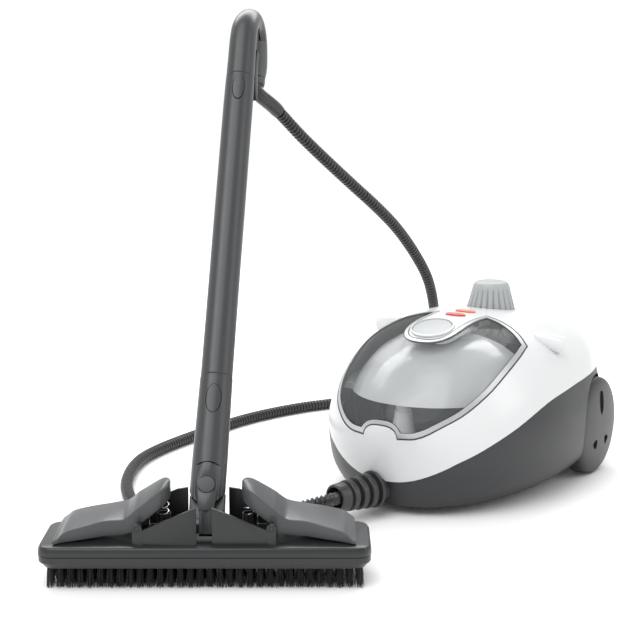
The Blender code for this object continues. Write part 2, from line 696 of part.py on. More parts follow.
valve = block("steam_valve", (-0.034, 0.018, 0.1500), (-0.012, 0.040, 0.1680), CANISTER, BLACK)
stem = rod("stem", (-0.023, 0.029, 0.1660), (-0.023, 0.029, 0.1740), 0.0060, CANISTER, BLACK)
combine(valve, stem, "UNION")
PIPE_ROUTE = [(-0.0112, 0.029, 0.158), (-0.004, 0.0292, 0.158), (0.006, 0.033, 0.154),
              (0.0175, 0.040, 0.140), (0.0190, 0.045, 0.100), (0.0190, 0.046, 0.060),
              (0.028, 0.046, 0.038), (0.060, 0.046, 0.030), (0.100, 0.042, 0.029),
              (0.132, 0.028, 0.029), (0.1440, 0.0075, 0.029), (0.1490, -0.0005, 0.029)]
smooth(tube_on_path("steam_pipe", even_curve(PIPE_ROUTE, 0.014), 0.0028, CANISTER, COPPER, 0.3, 0.9, sides=6))

switch_frame = button_frame(BUTTON_U)
block("switch_body", (-0.011, -0.011, -0.0185), (0.011, 0.011, -0.0112), switch_frame, BLACK)

# ---------------------------------------------------------------- controls on top
button_profile = [(0, -0.0075), (BUTTON_RADIUS - 0.004, -0.0075), (BUTTON_RADIUS, -0.0065),
                  (BUTTON_RADIUS, -0.0003), (BUTTON_RADIUS - 0.0012, 0.0006), (0.012, 0.0012), (0, 0.0014)]
button = smooth(turn("push_button", button_profile, button_frame(BUTTON_U), PALE, 0.4, sides=28))
set_origin(button, button_frame(BUTTON_U).translation)

LENS_COLOURS = {"lens_red": (0.75, 0.02, 0.02), "lens_orange": (0.85, 0.22, 0.02)}
for lens_name, lens_u in LENS_PLACES.items():
    frame = button_frame(lens_u)
    loops = []
    for height, grow in ((-0.0050, 0.0), (0.0002, 0.0), (0.0010, -0.0010), (0.0014, -0.0028)):
        lens_outline = ellipse(LENS_HALF_DEPTH + grow, LENS_HALF_WIDTH + grow * 1.5, 14)
        loops.append([(x, y, height) for x, y in lens_outline])
    smooth(loft(lens_name, loops, frame, LENS_COLOURS[lens_name], 0.15))

# safety cap: fluted knob, threaded plug, seal ring and relief spring
knob_loops = []
for height, radius, flute in ((0.1891, 0.0288, 0.0012), (0.1935, 0.0282, 0.0012), (0.2030, 0.0256, 0.0011),
                              (0.2120, 0.0232, 0.0008), (0.2180, 0.0216, 0.0003), (0.2220, 0.0185, 0.0),
                              (0.2235, 0.0140, 0.0)):
    loop = []
    for k in range(36):
        angle = 2 * math.pi * k / 36
        r = radius - (flute if k % 2 else 0.0)
        loop.append((r * math.cos(angle), r * math.sin(angle), height))
    knob_loops.append(loop)
knob = smooth(loft("cap_knob", knob_loops, cap_frame, WHITE), 60)
plug_profile = [(0, 0.1887), (0.0101, 0.1887), (0.0101, 0.1600), (0.0072, 0.1600), (0.0072, 0.1868),
                (0, 0.1868)]
plug = smooth(turn("cap_plug", plug_profile, cap_frame, DARK, sides=24))
gasket_profile = [(0.0105, 0.1868), (0.0143, 0.1868), (0.0143, 0.1887), (0.0105, 0.1887)]
gasket = smooth(turn("cap_seal", gasket_profile, cap_frame, BLACK, sides=20, pipe=True))


def helix(turns, radius, low, high, steps=8):
    count = int(turns * steps) + 1
    return [(radius * math.cos(2 * math.pi * k / steps), radius * math.sin(2 * math.pi * k / steps),
             low + (high - low) * k / (count - 1)) for k in range(count)]


relief = smooth(tube_on_path("cap_relief_spring", helix(4, 0.0052, 0.1640, 0.1858), 0.0007, cap_frame,
                             STEEL, 0.3, 1.0, sides=4))
for piece in (knob, plug, gasket, relief):
    set_origin(piece, CANISTER @ Vector((CAP_U, 0, 0.1893)))

# side lugs
for side, lug_name in ((1, "lug_left"), (-1, "lug_right")):
    root_point = Vector((-0.006, side * 0.080, 0.1770))
    end_point = Vector((-0.019, side * 0.1190, 0.1665))
    length = (end_point - root_point).length
    profile = [(0, 0.0), (0.0060, 0.0), (0.0080, 0.012), (0.0092, 0.026), (0.0098, length - 0.0015),
               (0.0088, length), (0.0028, length), (0.0026, length - 0.006), (0, length - 0.006)]
    frame = CANISTER @ frame_along(end_point - root_point, root_point)
    lug = turn(lug_name, profile, frame, WHITE, sides=20)
    grid_solid = body_solid("body", 0.0)
    grid_solid.data.transform(CANISTER.inverted())
    grid_solid.data.transform(Matrix.Diagonal((1.0035, 1.0035, 1.0022, 1.0)))
    grid_solid.data.transform(CANISTER)
    combine(lug, grid_solid)
    smooth(lug)

# ---------------------------------------------------------------- wheels, axle and caster
for side, wheel_name in ((1, "wheel_left"), (-1, "wheel_right")):
    centre = Vector((WHEEL_U, 0, WHEEL_RADIUS))
    frame = CANISTER @ frame_along((0, side, 0), centre, side=(0, 0, 1))
    profile = [(0, WHEEL_OUTER_V + 0.0030), (0.020, WHEEL_OUTER_V + 0.0027), (0.038, WHEEL_OUTER_V + 0.0014),
               (0.0500, WHEEL_OUTER_V - 0.0006), (0.0550, WHEEL_OUTER_V - 0.0028),
               (WHEEL_RADIUS, WHEEL_OUTER_V - 0.0065), (WHEEL_RADIUS, WHEEL_INNER_V + 0.003),
               (WHEEL_RADIUS - 0.003, WHEEL_INNER_V), (0.050, WHEEL_INNER_V), (0.050, WHEEL_OUTER_V - 0.008),
               (0.012, WHEEL_OUTER_V - 0.006), (0.012, WHEEL_INNER_V), (AXLE_RADIUS + GAP, WHEEL_INNER_V),
               (AXLE_RADIUS + GAP, WHEEL_OUTER_V - 0.005), (0, WHEEL_OUTER_V - 0.005)]
    wheel = turn(wheel_name, profile, frame, GREY, sides=24)
    for k in range(3):
        angle = 2 * math.pi * k / 3
        drop = [(0.013, 0.0), (0.021, 0.0052), (0.035, 0.0062), (0.0425, 0.0), (0.035, -0.0062),
                (0.021, -0.0052)]
        turned = [(x * math.cos(angle) - y * math.sin(angle), x * math.sin(angle) + y * math.cos(angle))
                  for x, y in drop]
        combine(wheel, prism("recess", turned, WHEEL_OUTER_V - 0.0022, WHEEL_OUTER_V + 0.01, frame, GREY))
    smooth(wheel)
    set_origin(wheel, CANISTER @ centre)

smooth(rod("rear_axle", (WHEEL_U, -0.1275, WHEEL_RADIUS), (WHEEL_U, 0.1275, WHEEL_RADIUS), AXLE_RADIUS,
           CANISTER, STEEL, 0.3, 1.0))

fork = rod("caster_fork", (CASTER_U, 0, 0.0268), (CASTER_U, 0, 0.0470), 0.0030, CANISTER, DARK, sides=16)
disc = rod("disc", (CASTER_U - 0.002, 0, 0.0262), (CASTER_U - 0.002, 0, 0.0300), 0.0125, CANISTER, DARK)
combine(fork, disc, "UNION")
for side in (1, -1):
    low_v, high_v = sorted((side * 0.0068, side * 0.0090))
    combine(fork, block("cheek", (CASTER_U - CASTER_TRAIL - 0.0045, low_v, CASTER_RADIUS - 0.0035),
                        (CASTER_U - CASTER_TRAIL + 0.0045, high_v, 0.0280), CANISTER, DARK), "UNION")
combine(fork, rod("bore", (CASTER_U - CASTER_TRAIL, -0.02, CASTER_RADIUS),
                  (CASTER_U - CASTER_TRAIL, 0.02, CASTER_RADIUS), 0.0018, CANISTER, DARK, sides=16))
set_origin(fork, CANISTER @ Vector((CASTER_U, 0, 0.0262)))
caster_centre = CANISTER @ Vector((CASTER_U - CASTER_TRAIL, 0, CASTER_RADIUS))
caster_frame = CANISTER @ frame_along((0, 1, 0), (CASTER_U - CASTER_TRAIL, 0, CASTER_RADIUS))
caster_profile = [(0.0018, -0.0062), (0.0090, -0.0062), (CASTER_RADIUS, -0.0048), (CASTER_RADIUS, 0.0048),
                  (0.0090, 0.0062), (0.0018, 0.0062)]
caster_wheel = smooth(turn("caster_wheel", caster_profile, caster_frame, BLACK, sides=20, pipe=True))
set_origin(caster_wheel, caster_centre)
smooth(rod("caster_pin", (CASTER_U - CASTER_TRAIL, -0.0098, CASTER_RADIUS),
           (CASTER_U - CASTER_TRAIL, 0.0098, CASTER_RADIUS), 0.0014, CANISTER, STEEL, 0.3, 1.0, sides=16))

# ---------------------------------------------------------------- hose gland and mains gland
gland_outer = [(0.0105, -0.0200), (0.0145, -0.0185), (0.0145, 0.0080), (0.0200, 0.0085), (0.0200, 0.0120)]
ring_start = 0.0120
for k in range(3):
    ring_r = 0.0186 - 0.0010 * k
    h = ring_start + 0.0120 * k
    gland_outer += [(ring_r - 0.0036, h + 0.0003), (ring_r - 0.0036, h + 0.0046), (ring_r, h + 0.0050),
                    (ring_r, h + 0.0118)]
gland_outer += [(0.0140, 0.0484), (0.0140, 0.0508), (0.0156, 0.0512), (0.0150, 0.0628), (0.0138, 0.0635),
                (0.0122, 0.0630), (0.0108, 0.0480), (0.0080, 0.0470), (0.0080, -0.0200)]
smooth(turn("hose_gland", gland_outer, gland_frame(), BLACK, sides=14, pipe=True))

mains_frame = CANISTER @ frame_along((-1, 0, 0), (-0.1850, -0.040, 0.050))
mains_profile = [(0.0030, -0.014), (0.0068, -0.014), (0.0068, 0.0078), (0.0100, 0.0080), (0.0100, 0.0110),
                 (0.0066, 0.0120), (0.0048, 0.0300), (0.0030, 0.0300)]
smooth(turn("mains_gland", mains_profile, mains_frame, BLACK, sides=20, pipe=True))

# ---------------------------------------------------------------- floor brush plates
def plate(name, levels, colour, rough=0.5):
    loops = []
    for height, inset in levels:
        outline_2d = rounded_rectangle(HEAD_HALF_WIDTH - inset, HEAD_HALF_DEPTH - inset, 0.014 - inset * 0.5)
        loops.append([(x, y, height) for x, y in outline_2d])
    return loft(name, loops, WORLD, colour, rough)


head_top = plate("head_top", [(HEAD_SEAM, 0.0), (HEAD_TOP - 0.0035, 0.0004), (HEAD_TOP - 0.0008, 0.0018),
                              (HEAD_TOP, 0.0042)], GREY)
front_outline = [(-0.0665, 0.0400), (-0.0665, 0.0500), (-0.0620, 0.0530), (-0.0400, 0.0625),
                 (-0.0200, 0.0715), (-0.0074, 0.0768), (-0.0074, 0.0400)]
WALL_FRONT = Matrix(((1, 0, 0, 0), (0, 0, 1, 0), (0, 1, 0, 0), (0, 0, 0, 1)))
for side in (1, -1):
    half_wall = [(side * x, z) for x, z in front_outline]
    combine(head_top, prism("wall", half_wall, -0.0315, -0.0285, WALL_FRONT, GREY), "UNION")
    for y0, y1 in ((-0.0318, -0.0270), (0.0246, 0.0285)):
        x = side * CLAMP_PIN_X
        boss = rod("boss", (x, y0, CLAMP_PIN_Z), (x, y1, CLAMP_PIN_Z), 0.0046, WORLD, GREY, sides=12)
        combine(head_top, boss, "UNION")
        post = block("post", (x - 0.0046, y0 + 0.0002, 0.0400), (x + 0.0046, y1 - 0.0002, CLAMP_PIN_Z),
                     WORLD, GREY)
        combine(head_top, post, "UNION")
        combine(head_top, rod("bore", (x, y0 - 0.002, CLAMP_PIN_Z), (x, y1 + 0.002, CLAMP_PIN_Z), 0.0023,
                              WORLD, GREY, sides=12))
combine(head_top, block("recess", (-0.0220, -0.0240, 0.0362), (0.0220, 0.0240, 0.0600), WORLD, GREY))
for side in (1, -1):
    low_x, high_x = sorted((side * 0.0148, side * 0.0190))
    combine(head_top, block("ear", (low_x, -0.0085, 0.0350), (high_x, 0.0085, PITCH_Z), WORLD, GREY), "UNION")
    combine(head_top, rod("ear", (low_x, 0, PITCH_Z), (high_x, 0, PITCH_Z), 0.0085, WORLD, GREY, sides=16),
            "UNION")
combine(head_top, rod("bore", (-0.03, 0, PITCH_Z), (0.03, 0, PITCH_Z), 0.0033, WORLD, GREY, sides=16))
smooth(head_top)

plate("head_sole", [(HEAD_UNDER, 0.0065), (HEAD_UNDER + 0.0030, 0.0040), (HEAD_UNDER + 0.0060, 0.0008),
                    (HEAD_SEAM - GAP, 0.0006)], GREY)


def scalloped_row(half_x, half_y, teeth_x, teeth_y, depth):
    """Rectangle whose sides wave in and out like a row of tufts."""
    points = []
    for (ax, ay), (bx, by), teeth in (((half_x, -half_y), (half_x, half_y), teeth_y),
                                      ((half_x, half_y), (-half_x, half_y), teeth_x),
                                      ((-half_x, half_y), (-half_x, -half_y), teeth_y),
                                      ((-half_x, -half_y), (half_x, -half_y), teeth_x)):
        nx = 1 if ax == bx and ax > 0 else (-1 if ax == bx else 0)
        ny = 1 if ay == by and ay > 0 else (-1 if ay == by else 0)
        for k in range(teeth * 2):
            t = k / (teeth * 2)
            d = depth if k % 2 == 0 and k > 0 else 0.0
            points.append((ax + (bx - ax) * t - nx * d, ay + (by - ay) * t - ny * d))
    return points


bristle_outline = scalloped_row(0.1475, 0.0345, 16, 4, 0.0014)
prism("bristle_block", bristle_outline, 0.0, HEAD_UNDER - GAP, WORLD, BLACK, 0.8)

rear_outline = [(-0.0470, 0.0418), (-0.0470, 0.0665), (-0.0400, 0.0722), (-0.0300, 0.0763), (-0.0196, 0.0780),
                (-0.0196, 0.0425), (0.0196, 0.0425), (0.0196, 0.0780), (0.0300, 0.0763), (0.0400, 0.0722),
                (0.0470, 0.0665), (0.0470, 0.0418)]
prism("rear_wall", rear_outline, 0.0290, 0.0320, WALL_FRONT, BLACK, 0.5)

# ---------------------------------------------------------------- cloth clamps
# Each section: (distance out, front y, rear y, front top, rear top, underside)
CLAMP_SECTIONS = [
    (0.1405, -0.0335, 0.0320, 0.0455, 0.0475, 0.0428),
    (0.1360, -0.0320, 0.0335, 0.0475, 0.0505, 0.0428),
    (0.1290, -0.0280, 0.0340, 0.0527, 0.0547, 0.0430),
    (0.1120, -0.0230, 0.0340, 0.0565, 0.0587, 0.0440),
    (0.0940, -0.0180, 0.0330, 0.0600, 0.0620, 0.0455),
    (0.0780, -0.0160, 0.0315, 0.0607, 0.0655, 0.0462),
    (0.0710, -0.0160, 0.0262, 0.0645, 0.0710, 0.0480),
    (0.0660, -0.0160, 0.0236, 0.0690, 0.0760, 0.0500),
    (0.0590, -0.0158, 0.0232, 0.0745, 0.0805, 0.0575),
    (0.0440, -0.0130, 0.0170, 0.0865, 0.0910, 0.0690),
    (0.0370, -0.0085, 0.0105, 0.0900, 0.0940, 0.0745),
    (0.0338, -0.0035, 0.0050, 0.0905, 0.0930, 0.0795),
]


def clamp_loop(section, side, thin=0.0022):
    """Inverted U section: outside from front foot over the top to the rear foot, then back inside."""
    x, front, rear, front_top, rear_top, under = section
    inner_front = min(front + thin, -0.0008)
    inner_rear = max(rear - thin, 0.0008)
    top_drop = min(thin, (front_top - under) * 0.45)
    soft = 0.0016
    outer = [(front, under), (front, front_top - soft), (front + soft, front_top),
             (0.5 * (front + rear), 0.5 * (front_top + rear_top) + 0.0006), (rear - soft, rear_top),
             (rear, rear_top - soft), (rear, under)]
    inner = [(inner_rear, under), (inner_rear, rear_top - top_drop - 0.0004),
             (0.5 * (inner_front + inner_rear), 0.5 * (front_top + rear_top) - top_drop),
             (inner_front, front_top - top_drop - 0.0004), (inner_front, under)]
    return [(side * x, y, z) for y, z in outer + inner]


def clamp_end(section, side):
    """Shallow solid end section with the same number of points."""
    x, front, rear, front_top, rear_top, under = section
    loop = clamp_loop(section, side)
    flat = []
    for i, (px, py, pz) in enumerate(loop):
        if i >= 7:
            pz = under + 0.0002
        flat.append((px, py, pz))
    return flat


for side, clamp_name in ((1, "clamp_right"), (-1, "clamp_left")):
    # end walls are solid slices, so the flap is closed at both ends
    loops = [clamp_end(CLAMP_SECTIONS[0], side)]
    loops += [clamp_loop(section, side) for section in CLAMP_SECTIONS[1:-1]]
    loops.append(clamp_end(CLAMP_SECTIONS[-1], side))
    clamp = loft(clamp_name, loops, WORLD, GREY)
    x = side * CLAMP_PIN_X
    web = block("web", (x - 0.0045, -0.0120, CLAMP_PIN_Z), (x + 0.0045, 0.0120, 0.0690), WORLD, GREY)
    barrel = rod("barrel", (x, -0.0120, CLAMP_PIN_Z), (x, 0.0120, CLAMP_PIN_Z), 0.0045, WORLD, GREY, sides=12)
    combine(web, barrel, "UNION")
    combine(clamp, web, "UNION")
    bore = rod("bore", (x, -0.04, CLAMP_PIN_Z), (x, 0.04, CLAMP_PIN_Z), 0.0023, WORLD, GREY, sides=16)
    combine(clamp, bore)
    smooth(clamp)
    set_origin(clamp, (x, 0, CLAMP_PIN_Z))
    pin_name = clamp_name.replace("clamp", "clamp_pin")
    smooth(rod(pin_name, (x, -0.0316, CLAMP_PIN_Z), (x, 0.0283, CLAMP_PIN_Z), 0.0020, WORLD, STEEL, 0.3, 1.0,
               sides=16))
    spring_frame = Matrix.Translation((side * SPRING_X, 0.004, 0))
    spring_name = clamp_name.replace("clamp", "clamp_spring")
    smooth(tube_on_path(spring_name, helix(5, 0.0046, 0.0426, 0.0820), 0.0007, spring_frame,
                        (0.8, 0.8, 0.8), 0.25, 1.0, sides=4))

# ---------------------------------------------------------------- yoke between brush and lance
YOKE_FLAT = YOKE @ WALL_FRONT
yoke_axis = YOKE @ frame_along((0, 1, 0), (0, 0, PIVOT_S))
body_outline = [(-0.0142, 0.0), (-0.0142, 0.0095), (-0.0165, 0.0110), (-0.0165, 0.0330), (0.0165, 0.0330),
                (0.0165, 0.0110), (0.0142, 0.0095), (0.0142, 0.0)]
yoke = prism("yoke", body_outline, -0.0060, CHEEK_INNER + 0.0020, YOKE_FLAT, GREY)
combine(yoke, rod("barrel", (-0.0142, 0, 0), (0.0142, 0, 0), 0.0080, YOKE, GREY, sides=20), "UNION")
# front fin with a groove between its two ridges
fin_section = [(-0.0066, -0.0050), (-0.0060, -0.0152), (-0.0040, -0.0163), (-0.0022, -0.0152), (0.0, -0.0138),
               (0.0022, -0.0152), (0.0040, -0.0163), (0.0060, -0.0152), (0.0066, -0.0050)]
fin_loops = [[(x, y, s) for x, y in fin_section] for s in (-0.0120, 0.0235)]
combine(yoke, loft("fin", fin_loops, YOKE, GREY), "UNION")
arc_profile = [(0, -CHEEK_INNER), (NECK_RADIUS + 0.0006, -CHEEK_INNER), (NECK_RADIUS + 0.0006, CHEEK_INNER),
               (0, CHEEK_INNER)]
combine(yoke, turn("arc", arc_profile, yoke_axis, GREY, sides=40))
# two rounded cheeks hold the neck between them
cheek_outline = [(-0.0070, 0.0100), (-0.0085, 0.0190), (-0.0115, 0.0270)]
for k in range(13):
    angle = math.pi * k / 12
    cheek_outline.append((-0.0125 * math.cos(angle), PIVOT_S + 0.0095 + 0.0125 * math.sin(angle)))
cheek_outline += [(0.0115, 0.0270), (0.0085, 0.0190), (0.0070, 0.0100)]
for side in (1, -1):
    low, high = sorted((side * CHEEK_INNER, side * 0.0190))
    cheek = prism("cheek", cheek_outline, low, high, YOKE_FLAT, GREY)
    skin = rod("skin", (0, 0, 0), (0, 0, 0.070), NECK_RADIUS - 0.0002, YOKE, GREY, sides=32)
    combine(cheek, skin, "INTERSECT")
    combine(yoke, cheek, "UNION")
combine(yoke, rod("bore", (0, -0.03, PIVOT_S), (0, 0.03, PIVOT_S), PIN_RADIUS + GAP, YOKE, GREY, sides=24))
combine(yoke, rod("bore", (-0.03, 0, 0), (0.03, 0, 0), 0.0033, YOKE, GREY, sides=16))
smooth(yoke)
set_origin(yoke, PITCH_POINT)
smooth(rod("pitch_pin", (-0.0192, 0, PITCH_Z), (0.0192, 0, PITCH_Z), 0.0030, WORLD, STEEL, 0.3, 1.0,
           sides=16))
swing_pin_profile = [(0, -0.0174), (PIN_RADIUS - 0.0006, -0.0174), (PIN_RADIUS, -0.0169),
                     (PIN_RADIUS, 0.0169), (PIN_RADIUS - 0.0006, 0.0174), (0, 0.0174)]
smooth(turn("swing_pin", swing_pin_profile, yoke_axis, GREY, sides=24))

# ---------------------------------------------------------------- lance tubes
LANCE_FLAT = LANCE @ WALL_FRONT
neck_profile = [(0, 0.0150), (NECK_RADIUS, 0.0150), (NECK_RADIUS, 0.0650), (0.0166, 0.1000),
                (0.0161, NECK_TOP - 0.0006), (0.0155, NECK_TOP), (0.0136, NECK_TOP),
                (0.0136, NECK_TOP - SEAL_RECESS), (SOCKET_RADIUS, NECK_TOP - SEAL_RECESS),
                (SOCKET_RADIUS, 0.0990), (0.0060, 0.0980), (0.0060, 0.0680), (0, 0.0680)]
neck = turn("neck", neck_profile, LANCE, GREY, sides=18)
round_end = [(NECK_RADIUS * math.cos(a), PIVOT_S + NECK_RADIUS * math.sin(a)) for a in
             [math.pi + math.pi * k / 16 for k in range(17)]]
end_outline = [(-0.03, 0.16), (-0.03, PIVOT_S)] + round_end + [(0.03, PIVOT_S), (0.03, 0.16)]
combine(neck, prism("round", end_outline, -0.03, 0.03, LANCE_FLAT, GREY), "INTERSECT")
for side in (1, -1):
    low, high = sorted((side * (CHEEK_INNER - GAP), side * 0.03))
    combine(neck, rod("seat", (0, low, PIVOT_S), (0, high, PIVOT_S), CHEEK_REACH, LANCE, GREY, sides=32))
combine(neck, rod("bore", (0, -0.03, PIVOT_S), (0, 0.03, PIVOT_S), PIN_RADIUS + GAP, LANCE, GREY, sides=24))
OVAL_S = 0.1212
SLOT_S = 0.4700


def button_prism(name, s, half_x, half_s, grow, low, high):
    shape = [(x, s + z) for x, z in ellipse(half_x + grow, half_s + grow, 20)]
    return prism(name, shape, low, high, LANCE_FLAT, GREY)


combine(neck, button_prism("bore", OVAL_S, 0.0072, 0.0142, 0.00035, -0.03, -0.002))
smooth(neck)
set_origin(neck, SWING_POINT)


def release_button(name, s, half_x, half_s, outer, inner):
    piece = turn(name, [(inner, s - 0.03), (outer, s - 0.03), (outer, s + 0.03), (inner, s + 0.03)],
                 LANCE, GREY, sides=18, pipe=True)
    combine(piece, button_prism("keep", s, half_x, half_s, 0.0, -0.03, -0.001), "INTERSECT")
    smooth(piece)
    set_origin(piece, LANCE @ Vector((0, -outer, s)))
    return piece


release_button("neck_release", OVAL_S, 0.0072, 0.0142, 0.0170, SOCKET_RADIUS + 0.0006)

tube_profile = [(0.0085, NECK_TOP - SPIGOT_LENGTH), (SPIGOT_RADIUS, NECK_TOP - SPIGOT_LENGTH),
                (SPIGOT_RADIUS, NECK_TOP - 0.0050), (SPIGOT_RADIUS, NECK_TOP + GAP),
                (TUBE_RADIUS - 0.0004, NECK_TOP + GAP), (TUBE_RADIUS, NECK_TOP + 0.0010),
                (TUBE_RADIUS, 0.40), (TUBE_RADIUS - 0.0004, TUBE_TOP - 0.0006),
                (TUBE_RADIUS - 0.0008, TUBE_TOP), (0.0136, TUBE_TOP), (0.0136, TUBE_TOP - SEAL_RECESS),
                (SOCKET_RADIUS, TUBE_TOP - SEAL_RECESS), (SOCKET_RADIUS, TUBE_TOP - 0.0480),
                (0.0085, TUBE_TOP - 0.0490)]
tube = turn("extension_tube", tube_profile, LANCE, GREY, sides=18, pipe=True)
combine(tube, button_prism("bore", OVAL_S, 0.0072, 0.0142, 0.0008, -0.03, -0.002))
combine(tube, button_prism("bore", SLOT_S, 0.0060, 0.0148, 0.00035, -0.03, -0.002))
smooth(tube)
set_origin(tube, LANCE @ Vector((0, 0, NECK_TOP)))
release_button("tube_release", SLOT_S, 0.0060, 0.0148, TUBE_RADIUS, SOCKET_RADIUS + 0.0006)

for seal_name, top in (("neck_seal", NECK_TOP), ("tube_seal", TUBE_TOP)):
    low = top - SEAL_RECESS + 0.0004
    high = top - 0.0004
    inner = SPIGOT_RADIUS + GAP
    seal_profile = [(inner, low), (0.0131, low), (0.0131, high), (inner, high)]
    smooth(turn(seal_name, seal_profile, LANCE, BLACK, sides=20, pipe=True))

# ---------------------------------------------------------------- handle
HANDLE_PATH = [(0, 0.000, 0.5050), (0, 0.000, 0.5380), (0, 0.0045, 0.5570), (0, 0.0175, 0.5735),
               (0, 0.0340, 0.5775), (0, 0.0475, 0.5700), (0, 0.0550, 0.5530), (0, 0.0575, 0.5360),
               (0, 0.0575, 0.5225)]
HANDLE_RADII = [(0.0149, 0.0149), (0.0146, 0.0146), (0.0142, 0.0140), (0.0132, 0.0128), (0.0120, 0.0120),
                (0.0114, 0.0121), (0.0113, 0.0124), (0.0112, 0.0122), (0.0098, 0.0102)]
path_points = spline(HANDLE_PATH, 21)
radius_points = spline(HANDLE_RADII, 21)
split = 13


def handle_sweep(name, first, last, colour):
    points = [tuple(p) for p in path_points[first:last]]
    radii = [tuple(r) for r in radius_points[first:last]]
    return swept(name, points, radii, HANDLE, colour, sides=16)


joint_at = Vector(path_points[split])
joint_direction = (Vector(path_points[split + 1]) - Vector(path_points[split - 1])).normalized()
JOINT = HANDLE @ frame_along(joint_direction, joint_at)
handle = handle_sweep("handle_shell", 0, split + 2, GREY)
combine(handle, turn("trim", [(0, 0), (0.02, 0), (0.02, 0.02), (0, 0.02)], JOINT, GREY, sides=16))
barrel_profile = [(0, TUBE_TOP - 0.0430), (SPIGOT_RADIUS, TUBE_TOP - 0.0430), (SPIGOT_RADIUS, TUBE_TOP + GAP),
                  (0.0148, TUBE_TOP + GAP), (0.0151, TUBE_TOP + 0.0010), (0.0150, 0.5060), (0, 0.5060)]
combine(handle, turn("barrel", barrel_profile, HANDLE, GREY, sides=16), "UNION")
bore_profile = [(0, 0.43), (0.0080, 0.43), (0.0080, 0.4950), (0, 0.4950)]
combine(handle, turn("bore", bore_profile, HANDLE, GREY, sides=16))
combine(handle, button_prism("bore", SLOT_S, 0.0060, 0.0148, 0.0008, -0.03, -0.002))
TRIGGER_PIVOT = (0, 0.0300, 0.5690)


def trigger_rod(name, half_width, radius, colour, rough=0.5, metal=0.0):
    _, y, z = TRIGGER_PIVOT
    return rod(name, (-half_width, y, z), (half_width, y, z), radius, HANDLE, colour, rough, metal, sides=12)


combine(handle, block("pocket", (-0.0070, 0.0190, 0.5450), (0.0070, 0.0415, 0.5735), HANDLE, GREY))
combine(handle, trigger_rod("bore", 0.0100, 0.0017, GREY))
smooth(handle)
set_origin(handle, HANDLE @ Vector((0, 0, TUBE_TOP)))

grip = handle_sweep("handle_grip", split - 1, 21, GRIP_GREY)
combine(grip, turn("trim", [(0, -0.02), (0.02, -0.02), (0.02, GAP), (0, GAP)], JOINT, GREY, sides=16))
smooth(grip)
set_origin(grip, HANDLE @ Vector((0, 0, TUBE_TOP)))

TRIGGER_FRAME = HANDLE @ Matrix(((0, 0, 1, 0), (1, 0, 0, 0), (0, 1, 0, 0), (0, 0, 0, 1)))
stem_outline = [(0.0262, 0.5715), (0.0245, 0.5690), (0.0240, 0.5500), (0.0230, 0.5300), (0.0318, 0.5300),
                (0.0335, 0.5500), (0.0352, 0.5690), (0.0338, 0.5715)]
paddle_outline = [(0.0226, 0.5380), (0.0216, 0.5200), (0.0226, 0.5050), (0.0260, 0.4920), (0.0300, 0.4840),
                  (0.0335, 0.4810), (0.0362, 0.4815), (0.0378, 0.4850), (0.0365, 0.4960), (0.0330, 0.5120),
                  (0.0318, 0.5280), (0.0322, 0.5380)]
trigger = prism("trigger", stem_outline, -0.0066, 0.0066, TRIGGER_FRAME, DARK)
combine(trigger, prism("paddle", paddle_outline, -0.0095, 0.0095, TRIGGER_FRAME, DARK), "UNION")
combine(trigger, trigger_rod("bore", 0.02, 0.0017, DARK))
set_origin(trigger, HANDLE @ Vector(TRIGGER_PIVOT))
smooth(trigger_rod("trigger_pin", 0.0097, 0.0014, STEEL, 0.3, 1.0))

collar_profile = [(0.0030, -0.0003), (0.0094, -0.0003), (0.0099, -0.0025), (0.0097, -0.0072),
                  (0.0088, -0.0085), (0.0030, -0.0085)]
collar_at = Vector(HANDLE_PATH[-1])
collar_frame = HANDLE @ Matrix.Translation(collar_at)
smooth(turn("hose_collar", collar_profile, collar_frame, GRIP_GREY, sides=18, pipe=True))

relief_start = HANDLE @ (collar_at + Vector((0, 0, -0.0088)))
relief_path = [relief_start] + list(even_curve([relief_start - LANCE_UP * 0.0055] + RELIEF_ROUTE, 0.005))
sleeve = tube_on_path("hose_relief", relief_path, 0.0080, WORLD, BLACK, sides=16)
smooth(sleeve)
relief_end = Vector(relief_path[-1])
relief_direction = (relief_end - Vector(relief_path[-2])).normalized()

# ---------------------------------------------------------------- hose
gland_mouth = gland_frame()
hose_start = gland_mouth @ Vector((0, 0, 0.0500))
hose_out = gland_mouth @ Vector((0, 0, 0.0680))


def hose(name, route):
    """Round hose along a smooth curve through the route's points."""
    points = even_curve([tuple(p) for p in route], 0.034)
    curve = bpy.data.curves.new(name, "CURVE")
    curve.dimensions = "3D"
    curve.bevel_depth = HOSE_RADIUS
    curve.bevel_resolution = 2
    curve.use_fill_caps = True
    line = curve.splines.new("POLY")
    line.points.add(len(points) - 1)
    for point, place in zip(line.points, points):
        point.co = (*place, 1)
    obj = bpy.data.objects.new(name, curve)
    bpy.context.scene.collection.objects.link(obj)
    curve.materials.append(material(name, BLACK, 0.5))
    return obj


hose("hose_floor", [hose_start, hose_out] + HOSE_FLOOR_ROUTE)
rise_first = Vector(HOSE_FLOOR_ROUTE[-1])
rise_step = (Vector(HOSE_RISE_ROUTE[0]) - rise_first).normalized() * 0.0005
hose("hose_rise", [rise_first + rise_step] + HOSE_RISE_ROUTE + [relief_end + relief_direction * 0.0012])
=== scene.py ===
"""Looks of the canister steam cleaner: fine pieces, finishes, light and camera round the CAD frame.

The brush sole is at the origin. The canister is drawn in its own axes, u to the nose, v to its left
and z up. The lance is drawn along s, from the brush to the handle.
"""
import math

import bmesh
import bpy
import numpy as np
from mathutils import Matrix, Vector


